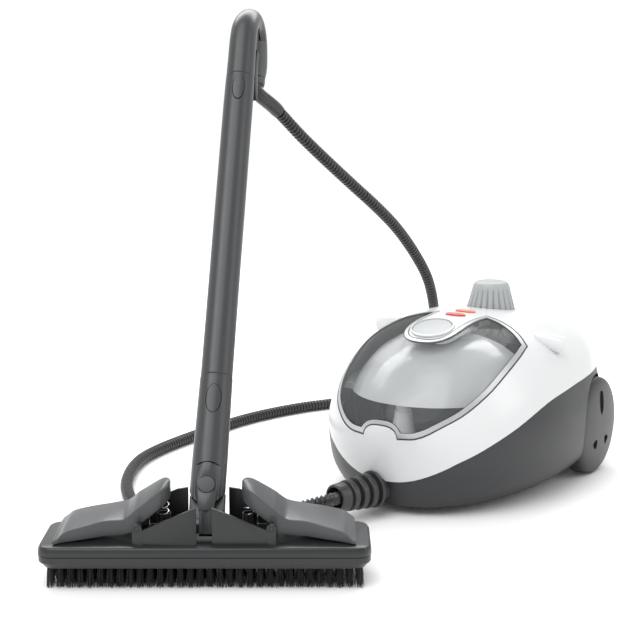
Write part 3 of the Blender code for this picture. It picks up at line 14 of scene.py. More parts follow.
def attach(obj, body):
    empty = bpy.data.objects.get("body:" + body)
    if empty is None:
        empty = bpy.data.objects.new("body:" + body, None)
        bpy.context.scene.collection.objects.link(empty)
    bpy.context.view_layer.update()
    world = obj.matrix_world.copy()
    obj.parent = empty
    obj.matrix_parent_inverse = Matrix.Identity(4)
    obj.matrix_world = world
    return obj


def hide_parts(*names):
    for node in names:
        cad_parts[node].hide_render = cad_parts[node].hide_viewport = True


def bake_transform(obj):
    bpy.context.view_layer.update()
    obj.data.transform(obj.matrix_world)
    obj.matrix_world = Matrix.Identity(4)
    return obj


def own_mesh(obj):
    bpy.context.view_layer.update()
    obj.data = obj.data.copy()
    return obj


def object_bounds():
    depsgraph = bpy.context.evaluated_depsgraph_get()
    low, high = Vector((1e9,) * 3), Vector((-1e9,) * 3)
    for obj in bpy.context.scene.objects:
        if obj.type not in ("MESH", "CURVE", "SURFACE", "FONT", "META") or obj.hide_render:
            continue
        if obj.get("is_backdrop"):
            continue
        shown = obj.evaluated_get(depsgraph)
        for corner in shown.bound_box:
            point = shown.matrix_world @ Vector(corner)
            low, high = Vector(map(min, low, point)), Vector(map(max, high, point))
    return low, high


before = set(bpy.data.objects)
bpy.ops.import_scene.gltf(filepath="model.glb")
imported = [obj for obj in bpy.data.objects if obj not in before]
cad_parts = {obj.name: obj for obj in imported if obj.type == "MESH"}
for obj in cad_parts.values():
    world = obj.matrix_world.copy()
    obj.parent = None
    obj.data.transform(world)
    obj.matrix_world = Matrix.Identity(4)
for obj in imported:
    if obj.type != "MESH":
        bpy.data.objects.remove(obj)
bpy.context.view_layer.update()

# ---- driving dimensions, as in the CAD
GAP = 0.0003
WALL = 0.0028
CANISTER_PLACE = (0.273, 0.329, 0)
CANISTER_YAW = math.radians(33)

# Body outline at each height: (height, nose, tail, half width)
BODY_ROWS = [
    (0.0080, 0.1620, -0.1580, 0.1010), (0.0130, 0.1690, -0.1670, 0.1130), (0.0340, 0.1770, -0.1810, 0.1340),
    (0.0600, 0.1830, -0.1900, 0.1390), (0.0850, 0.1875, -0.1940, 0.1380), (0.1050, 0.1850, -0.1940, 0.1340),
    (0.1270, 0.1700, -0.1920, 0.1280), (0.1480, 0.1460, -0.1860, 0.1190), (0.1660, 0.1240, -0.1670, 0.1050),
    (0.1775, 0.1040, -0.1420, 0.0885), (0.1860, 0.0850, -0.1090, 0.0720), (0.1915, 0.0640, -0.0720, 0.0510),
    (0.1945, 0.0380, -0.0420, 0.0280), (0.1955, -0.0050, -0.0050, 0.0000),
]
BODY_MIDDLE = -0.030
BODY_TOP_U = -0.005
NOSE_POWER = 2.2
TAIL_POWER = 2.7
BODY_RINGS = 52
BODY_SIDES = 112

PARTING_LINE = [(0.230, 0.020), (0.183, 0.0350), (0.178, 0.0390), (0.171, 0.0480), (0.162, 0.0575),
                (0.149, 0.068), (0.111, 0.088), (0.045, 0.111), (-0.010, 0.119), (-0.069, 0.1225),
                (-0.140, 0.124), (-0.230, 0.124)]
LID_ARCH = [(0.000, -0.0600), (0.008, -0.0602), (0.0145, -0.0618), (0.0185, -0.0650), (0.0205, -0.0690)]
LID_SIDE = [(0.0205, -0.0690), (0.040, -0.0640), (0.0575, -0.0510), (0.0780, -0.0240), (0.0910, 0.0110),
            (0.0965, 0.0480), (0.0975, 0.0800), (0.0950, 0.1030)]
LID_REAR = [(0.0950, 0.1030), (0.0790, 0.1180), (0.0540, 0.1320), (0.0295, 0.1405)]
LID_TONGUE = [(0.0295, 0.1405), (0.0268, 0.1200), (0.0266, 0.0950), (0.0250, 0.0770), (0.0195, 0.0660),
              (0.0110, 0.0605), (0.000, 0.0590)]
LID_FRAME_WIDTH = 0.0062
LID_HINGE = (0.0240, 0.1885)      # u and height of the hinge line
LID_ARM_V = 0.0302

WHEEL_U = -0.101
CASTER_U = 0.115
WHEEL_RADIUS = 0.0575
WHEEL_INNER_V = 0.108
WHEEL_OUTER_V = 0.133
AXLE_BORE = 0.0042
WELL_V = 0.1050
WELL_RADIUS = 0.0610
BUTTON_U = 0.0720
BUTTON_RADIUS = 0.0222
LENS_PLACES = {"lens_red": 0.0160, "lens_orange": -0.0090}
LENS_HALF_DEPTH = 0.0058
LENS_HALF_WIDTH = 0.0125
CAP_U = -0.076
CAP_SEAT_Z = 0.1885
GLAND_POINT = (0.1733, -0.0079, 0.0290)
GLAND_TURN = math.radians(-17)
CAP_BORE = 0.0150
GLAND_BORE = 0.0150

LEAN = math.radians(32)
SWAY = math.radians(2.8)
HANDLE_TWIST = math.radians(13)
PITCH_POINT = Vector((0, 0, 0.050))
PIVOT_S = 0.035
NECK_TOP = 0.1472
TUBE_TOP = 0.4882
NECK_RADIUS = 0.0171
TUBE_RADIUS = 0.0157
CHEEK_INNER = 0.0127
CHEEK_REACH = 0.0228
PIN_RADIUS = 0.0082
SLOT_S = 0.4700
OVAL = (0.1212, 0.0072, 0.0142)      # release button: place along s, half width, half length
TONGUE = (SLOT_S, 0.0060, 0.0148)
HOLE_DEPTHS = (-0.03, -0.002)

HEAD_HALF_WIDTH = 0.155
HEAD_HALF_DEPTH = 0.0415
HEAD_SEAM = 0.0325
HEAD_UNDER = 0.0198
CLAMP_PIN_X = 0.062
CLAMP_PIN_Z = 0.0565
SPRING_X = 0.0405
SPRING_FOOT = 0.0426
SPRING_Y = 0.004
SPRING_RADIUS = 0.0046
SPRING_WIRE = 0.0008
SPRING_HEIGHT = 0.0394
SPRING_TURNS = 6

HOSE_RADIUS = 0.0070
HOSE_PITCH = 0.0050
HOSE_FLOOR_Z = 0.0072
HOSE_FLOOR_ROUTE = [(0.082, 0.142, 0.0190), (0.050, 0.134, 0.0085), (0.000, 0.131, HOSE_FLOOR_Z),
                    (-0.050, 0.146, HOSE_FLOOR_Z), (-0.089, 0.187, HOSE_FLOOR_Z),
                    (-0.108, 0.245, HOSE_FLOOR_Z), (-0.114, 0.303, HOSE_FLOOR_Z),
                    (-0.110, 0.361, HOSE_FLOOR_Z), (-0.094, 0.410, HOSE_FLOOR_Z),
                    (-0.059, 0.472, HOSE_FLOOR_Z), (-0.005, 0.550, HOSE_FLOOR_Z),
                    (0.035, 0.594, HOSE_FLOOR_Z), (0.082, 0.632, HOSE_FLOOR_Z), (0.126, 0.657, HOSE_FLOOR_Z)]
HOSE_RISE_ROUTE = [(0.158, 0.672, HOSE_FLOOR_Z), (0.193, 0.681, 0.0100), (0.226, 0.679, 0.0260),
                   (0.251, 0.664, 0.0580), (0.2635, 0.638, 0.1000), (0.2650, 0.610, 0.1330),
                   (0.2612, 0.580, 0.1650), (0.2501, 0.548, 0.2034), (0.2300, 0.515, 0.2409),
                   (0.2053, 0.482, 0.2763), (0.1779, 0.450, 0.3066), (0.1474, 0.420, 0.3362),
                   (0.1157, 0.388, 0.3674), (0.0889, 0.362, 0.3948), (0.0719, 0.345, 0.4139)]
RELIEF_ROUTE = [(0.0410, 0.3160, 0.4445), (0.0480, 0.3205, 0.4385), (0.0552, 0.3265, 0.4322),
                (0.0619, 0.3325, 0.4253)]


# ---- axes
def axes_matrix(x_axis, y_axis, z_axis, origin):
    m = Matrix((x_axis, y_axis, z_axis)).transposed().to_4x4()
    m.translation = origin
    return m


def frame_along(direction, origin, side=None):
    """Matrix whose z axis points along the direction."""
    z_axis = Vector(direction).normalized()
    hint = Vector(side) if side else (Vector((0, 0, 1)) if abs(z_axis.z) < 0.9 else Vector((1, 0, 0)))
    x_axis = (hint - z_axis * hint.dot(z_axis)).normalized()
    return axes_matrix(x_axis, z_axis.cross(x_axis), z_axis, origin)


UP = Vector((0, 0, 1))
NOSE_WAY = Vector((-math.sin(CANISTER_YAW), -math.cos(CANISTER_YAW), 0))
CANISTER = axes_matrix(NOSE_WAY, UP.cross(NOSE_WAY), UP, CANISTER_PLACE)
WORLD = Matrix.Identity(4)
X_AXIS = Vector((1, 0, 0))
LEAN_UP = Vector((0, math.sin(LEAN), math.cos(LEAN)))
LEAN_BACK = Vector((0, math.cos(LEAN), -math.sin(LEAN)))
SWING_POINT = PITCH_POINT + LEAN_UP * PIVOT_S
LANCE_UP = LEAN_UP * math.cos(SWAY) + X_AXIS * math.sin(SWAY)
LANCE_RIGHT = X_AXIS * math.cos(SWAY) - LEAN_UP * math.sin(SWAY)
HANDLE_BACK = LEAN_BACK * math.cos(HANDLE_TWIST) + LANCE_RIGHT * math.sin(HANDLE_TWIST)
HANDLE_RIGHT = LANCE_RIGHT * math.cos(HANDLE_TWIST) - LEAN_BACK * math.sin(HANDLE_TWIST)
LANCE_ZERO = SWING_POINT - LANCE_UP * PIVOT_S
YOKE = axes_matrix(X_AXIS, LEAN_BACK, LEAN_UP, PITCH_POINT)
LANCE = axes_matrix(LANCE_RIGHT, LEAN_BACK, LANCE_UP, LANCE_ZERO)
HANDLE = axes_matrix(HANDLE_RIGHT, HANDLE_BACK, LANCE_UP, LANCE_ZERO)
SIDE_VIEW = Matrix(((1, 0, 0, 0), (0, 0, 1, 0), (0, 1, 0, 0), (0, 0, 0, 1)))   # outline (x, z), depth y
SLOPE = math.sqrt(0.5)
LID_VIEW = CANISTER @ Matrix(((0, -SLOPE, SLOPE, 0), (1, 0, 0, 0), (0, SLOPE, SLOPE, 0), (0, 0, 0, 1)))


# ---- finishes
def set_inputs(node, values):
    for name, value in values.items():
        node.inputs[name].default_value = value


def finish(name, colour, rough, metal=0.0, grain=0.0, grain_scale=1800.0, uneven=0.0, coat=0.0, alpha=1.0):
    """Principled finish with a fine moulded grain and slightly uneven sheen."""
    mat = bpy.data.materials.new(name)
    mat.use_nodes = True
    nodes = mat.node_tree.nodes
    links = mat.node_tree.links
    shader = nodes["Principled BSDF"]
    set_inputs(shader, {"Base Color": (*colour, 1), "Metallic": metal, "Coat Weight": coat,
                        "Coat Roughness": 0.08, "Alpha": alpha})
    coords = nodes.new("ShaderNodeTexCoord")
    sheen = nodes.new("ShaderNodeTexNoise")
    set_inputs(sheen, {"Scale": 42.0, "Detail": 3.0})
    spread = nodes.new("ShaderNodeMapRange")
    set_inputs(spread, {"To Min": rough - uneven, "To Max": rough + uneven})
    links.new(coords.outputs["Object"], sheen.inputs["Vector"])
    links.new(sheen.outputs["Fac"], spread.inputs["Value"])
    links.new(spread.outputs["Result"], shader.inputs["Roughness"])
    if grain > 0:
        speckle = nodes.new("ShaderNodeTexNoise")
        set_inputs(speckle, {"Scale": grain_scale, "Detail": 1.0})
        bump = nodes.new("ShaderNodeBump")
        set_inputs(bump, {"Strength": grain, "Distance": 0.0002})
        links.new(coords.outputs["Object"], speckle.inputs["Vector"])
        links.new(speckle.outputs["Fac"], bump.inputs["Height"])
        links.new(bump.outputs["Normal"], shader.inputs["Normal"])
    return mat


WHITE = finish("white_gloss", (0.65, 0.66, 0.665), 0.24, uneven=0.03, coat=0.15)
PALE = finish("pale_grey", (0.36, 0.375, 0.38), 0.38, grain=0.05, uneven=0.03)
SILVER = finish("painted_silver", (0.50, 0.515, 0.52), 0.30, metal=0.55, uneven=0.04)
EDGE = finish("frame_edge", (0.040, 0.041, 0.043), 0.35, uneven=0.03)
GREY = finish("charcoal_plastic", (0.023, 0.024, 0.026), 0.42, grain=0.10, uneven=0.04)
LANCE_GREY = finish("lance_plastic", (0.038, 0.040, 0.042), 0.34, grain=0.06, uneven=0.04)
PAD_GREY = finish("clamp_plastic", (0.060, 0.063, 0.066), 0.30, grain=0.05, uneven=0.04)
HEAD_GREY = finish("brush_plastic", (0.015, 0.016, 0.017), 0.30, grain=0.05, uneven=0.04)
GRIP_GREY = finish("grip_plastic", (0.080, 0.084, 0.087), 0.50, grain=0.15, uneven=0.03)
BLACK = finish("black_plastic", (0.010, 0.010, 0.011), 0.42, grain=0.08, uneven=0.04)
RUBBER = finish("hose_rubber", (0.030, 0.030, 0.032), 0.34, grain=0.05, uneven=0.05)
BRISTLE = finish("bristle_nylon", (0.014, 0.012, 0.012), 0.50, uneven=0.05)
STEEL = finish("bright_steel", (0.60, 0.60, 0.61), 0.24, metal=1.0, uneven=0.05)
DULL_STEEL = finish("brushed_steel", (0.48, 0.49, 0.50), 0.42, metal=1.0, uneven=0.08)
COPPER = finish("copper_pipe", (0.60, 0.30, 0.17), 0.32, metal=1.0, uneven=0.08)
LINER = finish("inner_plastic", (0.50, 0.515, 0.52), 0.20, uneven=0.04, coat=0.4)
SPOUT = finish("spout_plastic", (0.86, 0.88, 0.88), 0.25, uneven=0.04)
# near-black painted shade for the cavity under the boiler dome; the tray and its rib take it
CAVITY_SHADE = finish("cavity_painted_shade", (0.012, 0.012, 0.013), 0.45, uneven=0.04)
SMOKE = finish("smoke_pane", (0.34, 0.36, 0.365), 0.06, uneven=0.01, alpha=0.12)
RED_LENS = finish("red_lens", (0.52, 0.045, 0.040), 0.20, uneven=0.02, coat=0.3)
ORANGE_LENS = finish("orange_lens", (0.66, 0.16, 0.060), 0.20, uneven=0.02, coat=0.3)

NODE_FINISH = {
    "lid_pin_left": STEEL, "lid_pin_right": STEEL, "boiler": DULL_STEEL, "filler_neck": STEEL,
    "heating_plate": DULL_STEEL, "steam_valve": BLACK, "steam_pipe": COPPER, "switch_body": BLACK,
    "cap_plug": BLACK, "cap_seal": RUBBER, "cap_relief_spring": STEEL, "rear_axle": STEEL,
    "caster_fork": BLACK, "caster_wheel": RUBBER, "caster_pin": STEEL, "mains_gland": RUBBER,
    "clamp_pin_right": GREY, "clamp_pin_left": GREY, "pitch_pin": GREY, "neck_seal": RUBBER,
    "tube_seal": RUBBER, "trigger_pin": STEEL,
}
for node_name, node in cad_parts.items():
    node.data.materials.clear()
    node.data.materials.append(NODE_FINISH.get(node_name, GREY))


# ---- curves
def spline(points, count):
    """Points evenly spread by parameter along a smooth curve through the given points."""
    pts = np.array(points, dtype=float)
    padded = np.vstack([2 * pts[0] - pts[1], pts, 2 * pts[-1] - pts[-2]])
    out = []
    for t in np.linspace(0, len(pts) - 1, count):
        i = min(int(t), len(pts) - 2)
        f = t - i
        a, b, c, d = padded[i:i + 4]
        out.append(0.5 * (2 * b + (c - a) * f + (2 * a - 5 * b + 4 * c - d) * f ** 2
                          + (3 * b - a - 3 * c + d) * f ** 3))
    return np.array(out)


def even_curve(points, step):
    """The same smooth curve, with points at equal distances."""
    fine = spline(points, 40 * len(points))
    lengths = np.concatenate([[0], np.cumsum(np.linalg.norm(np.diff(fine, axis=0), axis=1))])
    count = max(2, int(round(lengths[-1] / step)) + 1)
    wanted = np.linspace(0, lengths[-1], count)
    return np.stack([np.interp(wanted, lengths, fine[:, k]) for k in range(fine.shape[1])], axis=1)


# ---- pieces
def add_object(name, data):
    obj = bpy.data.objects.new(name, data)
    bpy.context.scene.collection.objects.link(obj)
    return obj


def make_object(name, verts, faces, matrix, mat):
    mesh = bpy.data.meshes.new(name)
    mesh.from_pydata([tuple(v) for v in verts], [], faces)
    mesh.transform(matrix)
    bm = bmesh.new()
    bm.from_mesh(mesh)
    bmesh.ops.recalc_face_normals(bm, faces=bm.faces)
    bm.to_mesh(mesh)
    bm.free()
    mesh.materials.append(mat)
    return add_object(name, mesh)


def combine(target, tool, operation="DIFFERENCE"):
    """Cut, join or intersect two solids and leave the result in the first."""
    mod = target.modifiers.new("step", "BOOLEAN")
    mod.operation = operation
    mod.solver = "EXACT"
    mod.object = tool
    graph = bpy.context.evaluated_depsgraph_get()
    result = bpy.data.meshes.new_from_object(target.evaluated_get(graph))
    target.modifiers.clear()
    old = target.data
    target.data = result
    bpy.data.meshes.remove(old)
    while len(result.materials) > 1:
        result.materials.pop()
    for face in result.polygons:
        face.material_index = 0
    bm = bmesh.new()
    bm.from_mesh(result)
    bmesh.ops.remove_doubles(bm, verts=bm.verts, dist=2e-6)
    bmesh.ops.dissolve_degenerate(bm, edges=bm.edges, dist=1e-6)
    bm.to_mesh(result)
    bm.free()
    bpy.data.objects.remove(tool, do_unlink=True)
    return target


def shade(obj, degrees=30, bevel=0.0, segments=2):
    """Smooth shading with crisp edges, rounded over where a bevel is given."""
    obj.data.shade_smooth()
    if bevel > 0:
        mod = obj.modifiers.new("edges", "BEVEL")
        mod.width = bevel
        mod.segments = segments
        mod.limit_method = "ANGLE"
        mod.angle_limit = math.radians(28)
        mod.harden_normals = True
        graph = bpy.context.evaluated_depsgraph_get()
        obj.data = bpy.data.meshes.new_from_object(obj.evaluated_get(graph))
        obj.modifiers.clear()
    else:
        obj.data.set_sharp_from_angle(angle=math.radians(degrees))
        mod = obj.modifiers.new("even", "WEIGHTED_NORMAL")
        mod.keep_sharp = True
        mod.weight = 80
    return obj


def paint(obj, mat, chosen):
    """Second material on the faces whose centre is chosen."""
    obj.data.materials.append(mat)
    for face in obj.data.polygons:
        if chosen(face.center):
            face.material_index = 1


def place(obj, body, *nodes):
    """The piece rides on its CAD body and stands for those CAD nodes."""
    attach(obj, body)
    if nodes:
        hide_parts(*nodes)
    return obj


def softened(node_name, mat, bevel):
    """Copy of a CAD node as one clean skin with rounded edges."""
    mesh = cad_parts[node_name].data.copy()
    bm = bmesh.new()
    bm.from_mesh(mesh)
    bmesh.ops.remove_doubles(bm, verts=bm.verts, dist=2e-6)
    bmesh.ops.dissolve_limit(bm, angle_limit=math.radians(0.6), verts=bm.verts, edges=bm.edges)
    bmesh.ops.recalc_face_normals(bm, faces=bm.faces)
    for edge in bm.edges:
        edge.smooth = True
    bm.to_mesh(mesh)
    bm.free()
    mesh.materials.clear()
    mesh.materials.append(mat)
    return shade(add_object(node_name + "_finish", mesh), bevel=bevel)


def loft(name, loops, matrix, mat, ring=False):
    """Skin closed loops of equal point count; ends are capped unless they join in a ring."""
    n = len(loops[0])
    verts = [p for loop in loops for p in loop]
    faces = []
    last = len(loops) if ring else len(loops) - 1
    for i in range(last):
        a = i * n
        b = ((i + 1) % len(loops)) * n
        for j in range(n):
            k = (j + 1) % n
            faces.append((a + j, a + k, b + k, b + j))
    if not ring:
        faces.append(tuple(range(n)))
        faces.append(tuple(range((len(loops) - 1) * n, len(loops) * n)))
    return make_object(name, verts, faces, matrix, mat)


def turn(name, profile, matrix, mat, sides=64, pipe=False):
    """Solid of revolution about the frame's z axis from (radius, height) points."""
    verts = []
    rings = []
    for radius, height in profile:
        if radius < 1e-6:
            rings.append([len(verts)])
            verts.append((0, 0, height))
        else:
            rings.append(list(range(len(verts), len(verts) + sides)))
            verts += [(x, y, height) for x, y in ellipse(radius, radius, sides)]
    faces = []
    pairs = list(zip(rings, rings[1:]))
    if pipe:
        pairs.append((rings[-1], rings[0]))
    for low, high in pairs:
        for k in range(sides):
            m = (k + 1) % sides
            if len(low) == 1:
                faces.append((low[0], high[m], high[k]))
            elif len(high) == 1:
                faces.append((low[k], low[m], high[0]))
            else:
                faces.append((low[k], low[m], high[m], high[k]))
    return make_object(name, verts, faces, matrix, mat)


def cylinder(name, radius, low, high, matrix, mat, sides=64):
    """Cylinder on the frame's z axis, between two heights."""
    return turn(name, [(0, low), (radius, low), (radius, high), (0, high)], matrix, mat, sides)


def rod(name, start, end, radius, matrix, mat, sides=48):
    start = Vector(start)
    end = Vector(end)
    rod_frame = matrix @ frame_along(end - start, start)
    return cylinder(name, radius, 0, (end - start).length, rod_frame, mat, sides)


def block(name, low, high, matrix, mat):
    (x0, y0, z0), (x1, y1, z1) = low, high
    corners = [(x0, y0), (x1, y0), (x1, y1), (x0, y1)]
    return prism(name, corners, z0, z1, matrix, mat)


def prism(name, outline, low, high, matrix, mat):
    """Straight solid on a flat outline, between two heights of the frame's z axis."""
    loops = [[(x, y, z) for x, y in outline] for z in (low, high)]
    return loft(name, loops, matrix, mat)


def swept(name, path, radii, matrix, mat, sides=48, side_axis=(1, 0, 0)):
    """Elliptical section carried along a path lying square to the side axis."""
    across = Vector(side_axis).normalized()
    loops = []
    for i, point in enumerate(path):
        before = Vector(path[max(i - 1, 0)])
        after = Vector(path[min(i + 1, len(path) - 1)])
        tangent = (after - before).normalized()
        other = tangent.cross(across).normalized()
        wide, deep = radii[i]
        loop = []
        for k in range(sides):
            angle = 2 * math.pi * k / sides
            loop.append(Vector(point) + across * wide * math.cos(angle) + other * deep * math.sin(angle))
        loops.append(loop)
    return loft(name, loops, matrix, mat)


def tube_on_path(name, path, radii, matrix, mat, sides=12):
    """Round tube along any path, with its own radius at each point."""
    path = [Vector(p) for p in path]
    tangents = []
    for i in range(len(path)):
        tangents.append((path[min(i + 1, len(path) - 1)] - path[max(i - 1, 0)]).normalized())
    hint = Vector((0, 0, 1)) if abs(tangents[0].z) < 0.9 else Vector((1, 0, 0))
    across = (hint - tangents[0] * hint.dot(tangents[0])).normalized()
    loops = []
    for point, tangent, radius in zip(path, tangents, radii):
        across = (across - tangent * across.dot(tangent)).normalized()
        other = tangent.cross(across)
        loops.append([point + across * radius * math.cos(2 * math.pi * k / sides)
                      + other * radius * math.sin(2 * math.pi * k / sides) for k in range(sides)])
    return loft(name, loops, matrix, mat)


def rounded_rectangle(half_x, half_y, radius, steps=12):
    points = []
    for cx, cy, start in ((1, 1, 0), (-1, 1, 90), (-1, -1, 180), (1, -1, 270)):
        for k in range(steps + 1):
            angle = math.radians(start + 90 * k / steps)
            points.append((cx * (half_x - radius) + radius * math.cos(angle),
                           cy * (half_y - radius) + radius * math.sin(angle)))
    return points


def ellipse(half_x, half_y, count=48):
    return [(half_x * math.cos(2 * math.pi * k / count), half_y * math.sin(2 * math.pi * k / count))
            for k in range(count)]


# ---- canister body surface
def body_grid(inset):
    """Rings of body points from the flat underside up to the crown, moved inwards by the inset."""
    rows = spline(BODY_ROWS, BODY_RINGS + 1)
    grid = []
    for i, (height, nose, tail, half) in enumerate(rows):
        row = i * (len(BODY_ROWS) - 1) / BODY_RINGS
        shift = min(max((row - 10) / 3, 0), 1)
        middle = BODY_MIDDLE + (BODY_TOP_U - BODY_MIDDLE) * shift
        ring = []
        for k in range(BODY_SIDES):
            angle = 2 * math.pi * k / BODY_SIDES
            c = math.cos(angle)
            s = math.sin(angle)
            power = NOSE_POWER if c >= 0 else TAIL_POWER
            reach = nose - middle if c >= 0 else middle - tail
            u = middle + reach * math.copysign(abs(c) ** (2 / power), c)
            v = max(half, 0) * math.copysign(abs(s) ** (2 / power), s)
            ring.append((u, v, height))
        grid.append(ring)
    grid = np.array(grid)
    if inset > 0:
        along = np.roll(grid, -1, axis=1) - np.roll(grid, 1, axis=1)
        up = np.empty_like(grid)
        up[1:-1] = grid[2:] - grid[:-2]
        up[0] = grid[1] - grid[0]
        up[-1] = grid[-1] - grid[-2]
        normal = np.cross(along, up)
        size = np.linalg.norm(normal, axis=2, keepdims=True)
        grid = grid - normal / np.maximum(size, 1e-12) * inset
        grid[0, :, 2] = rows[0][0] + inset
        grid[-1] = (BODY_TOP_U, 0, rows[-1][0] - inset)
    return grid


def body_solid(name, inset=0.0, mat=WHITE):
    grid = body_grid(inset)
    verts = [tuple(p) for ring in grid[:-1] for p in ring]
    top = len(verts)
    verts.append(tuple(grid[-1, 0]))
    n = BODY_SIDES
    faces = [tuple(range(n))]
    for i in range(BODY_RINGS - 1):
        for k in range(n):
            m = (k + 1) % n
            faces.append((i * n + k, i * n + m, (i + 1) * n + m, (i + 1) * n + k))
    base = (BODY_RINGS - 1) * n
    for k in range(n):
        faces.append((base + k, base + (k + 1) % n, top))
    return make_object(name, verts, faces, CANISTER, mat)


def body_layer(name, depth, under, mat=WHITE):
    """Layer of the body between two depths below its surface."""
    return combine(body_solid(name, depth, mat), body_solid("inside", under))


def shrunk_body(name, inset, mat=WHITE):
    """Body scaled about its middle, so that its surface lies about the inset further in."""
    solid = body_solid(name, 0.0, mat)
    middle = Matrix.Translation((0, 0, 0.060))
    scale = Matrix.Diagonal((1 - inset / 0.190, 1 - inset / 0.138, 1 - inset / 0.1335, 1))
    solid.data.transform(CANISTER @ middle @ scale @ middle.inverted() @ CANISTER.inverted())
    return solid


def inner_piece(name, inset, low, high, mat, under=None):
    """Shrunk body inside a box, and hollow if the inset of its underside is given."""
    piece = shrunk_body(name, inset, mat)
    if under:
        combine(piece, shrunk_body("inside", under))
    return combine(piece, block("keep", low, high, CANISTER, mat), "INTERSECT")


CROWN = spline(BODY_ROWS, 400)


def crown_height(u):
    """Height of the body's centre line."""
    best = CROWN[0]
    for row in CROWN:
        inside = row[1] >= u if u >= BODY_TOP_U else row[2] <= u
        if inside:
            best = row
    return float(best[0])


def button_frame(u, lift=0.0):
    """Frame square to the crown at u."""
    step = 0.004
    slope = (crown_height(u + step) - crown_height(u - step)) / (2 * step)
    normal = Vector((-slope, 0, 1)).normalized()
    point = Vector((u, 0, crown_height(u))) + normal * lift
    return CANISTER @ frame_along(normal, point, side=(1, 0, 0))


def below_parting(name, shift, bottom=-0.01):
    line = [(u, z + shift) for u, z in spline(PARTING_LINE, 60)]
    outline = line + [(-0.24, bottom), (0.24, bottom)]
    return prism(name, outline, -0.2, 0.2, CANISTER @ SIDE_VIEW, WHITE)


def half_curve(parts):
    points = []
    for curve, count in parts:
        points += [tuple(p) for p in spline(curve, count)[:-1]]
    points.append(tuple(parts[-1][0][-1]))
    return points


def lid_outline():
    half = half_curve([(LID_ARCH, 12), (LID_SIDE, 36), (LID_REAR, 12), (LID_TONGUE, 26)])
    return half + [(-x, y) for x, y in reversed(half[1:-1])]


def offset_outline(points, distance):
    """Move a closed outline inwards with mitred corners, leaving out points that come too near its edges."""
    pts = np.array(points)
    area = 0.5 * np.sum(pts[:, 0] * np.roll(pts[:, 1], -1) - np.roll(pts[:, 0], -1) * pts[:, 1])
    turn_sign = 1 if area > 0 else -1
    out = []
    for i in range(len(pts)):
        before = pts[i] - pts[i - 1]
        after = pts[(i + 1) % len(pts)] - pts[i]
        before = before / np.linalg.norm(before)
        after = after / np.linalg.norm(after)
        mid = np.array((-before[1] - after[1], before[0] + after[0])) * turn_sign
        mid = mid / np.linalg.norm(mid)
        stretch = 1 / max(0.6, float(mid @ np.array((-before[1], before[0])) * turn_sign))
        out.append(pts[i] + mid * distance * stretch)
    edges = np.roll(pts, -1, axis=0) - pts
    kept = []
    for point in out:
        along = ((point - pts) * edges).sum(axis=1) / (edges ** 2).sum(axis=1)
        nearest = pts + edges * np.clip(along, 0, 1)[:, None]
        if np.linalg.norm(nearest - point, axis=1).min() > 0.97 * distance:
            kept.append(tuple(point))
    return kept


def lid_prism(name, outline, low=0.10, high=0.30):
    return prism(name, outline, low, high, LID_VIEW, WHITE)


def lid_layer(name, depth, under, mat, edge, pane=None):
    """Layer of the body within the lid's edge, open over the pane if the pane's distance is given."""
    layer = body_layer(name, depth, under, mat)
    combine(layer, lid_prism("edge", offset_outline(LID_EDGE, edge)), "INTERSECT")
    if pane:
        combine(layer, lid_prism("pane", offset_outline(LID_EDGE, pane)))
    return layer


# ---- white shell
LID_EDGE = lid_outline()
GLAND = CANISTER @ frame_along((math.cos(GLAND_TURN), math.sin(GLAND_TURN), 0), GLAND_POINT)

shell = body_layer("shell", 0.0, WALL)
combine(shell, below_parting("low", GAP, bottom=-0.02))
skirt = body_layer("skirt", 0.0015, 0.0125)
tongue_half = [tuple(p) for p in spline(LID_TONGUE, 26)]
half = [(x - GAP, y + GAP) if x > GAP else (x, y + GAP) for x, y in tongue_half]
combine(skirt, lid_prism("tongue", half + [(-x, y) for x, y in reversed(half[:-1])]), "INTERSECT")
half_in = [(max(x - 0.0022, 0), y + (0.0018 if x < 0.026 else 0)) for x, y in half]
half_in[0] = (half_in[0][0], 0.160)
combine(skirt, lid_prism("core", half_in + [(-x, y) for x, y in reversed(half_in[:-1])]))
combine(shell, lid_prism("opening", LID_EDGE))
combine(shell, skirt, "UNION")
combine(shell, cylinder("bore", BUTTON_RADIUS + 0.0004, -0.02, 0.01, button_frame(BUTTON_U), WHITE))
lens_hole = ellipse(LENS_HALF_DEPTH + GAP, LENS_HALF_WIDTH + GAP)
for lens_u in LENS_PLACES.values():
    combine(shell, prism("bore", lens_hole, -0.02, 0.01, button_frame(lens_u), WHITE))
seat = rod("seat", (CAP_U, 0, CAP_SEAT_Z - 0.0035), (CAP_U, 0, CAP_SEAT_Z), 0.0325, CANISTER, WHITE, 96)
combine(shell, seat, "UNION")
combine(shell, rod("recess", (CAP_U, 0, CAP_SEAT_Z), (CAP_U, 0, 0.22), 0.0294, CANISTER, WHITE, 96))
combine(shell, rod("bore", (CAP_U, 0, 0.15), (CAP_U, 0, 0.22), CAP_BORE, CANISTER, WHITE))
combine(shell, cylinder("bore", GLAND_BORE, -0.03, 0.03, GLAND, WHITE))
place(shade(shell), "machine", "upper_shell")

lip_profile = [(BUTTON_RADIUS + 0.0005, -0.0010), (BUTTON_RADIUS + 0.0005, 0.0009),
               (BUTTON_RADIUS + 0.0009, 0.0013), (BUTTON_RADIUS + 0.0019, 0.0011),
               (BUTTON_RADIUS + 0.0026, 0.0002), (BUTTON_RADIUS + 0.0026, -0.0010)]
place(shade(turn("button_lip", lip_profile, button_frame(BUTTON_U), WHITE, 96, pipe=True)), "machine")

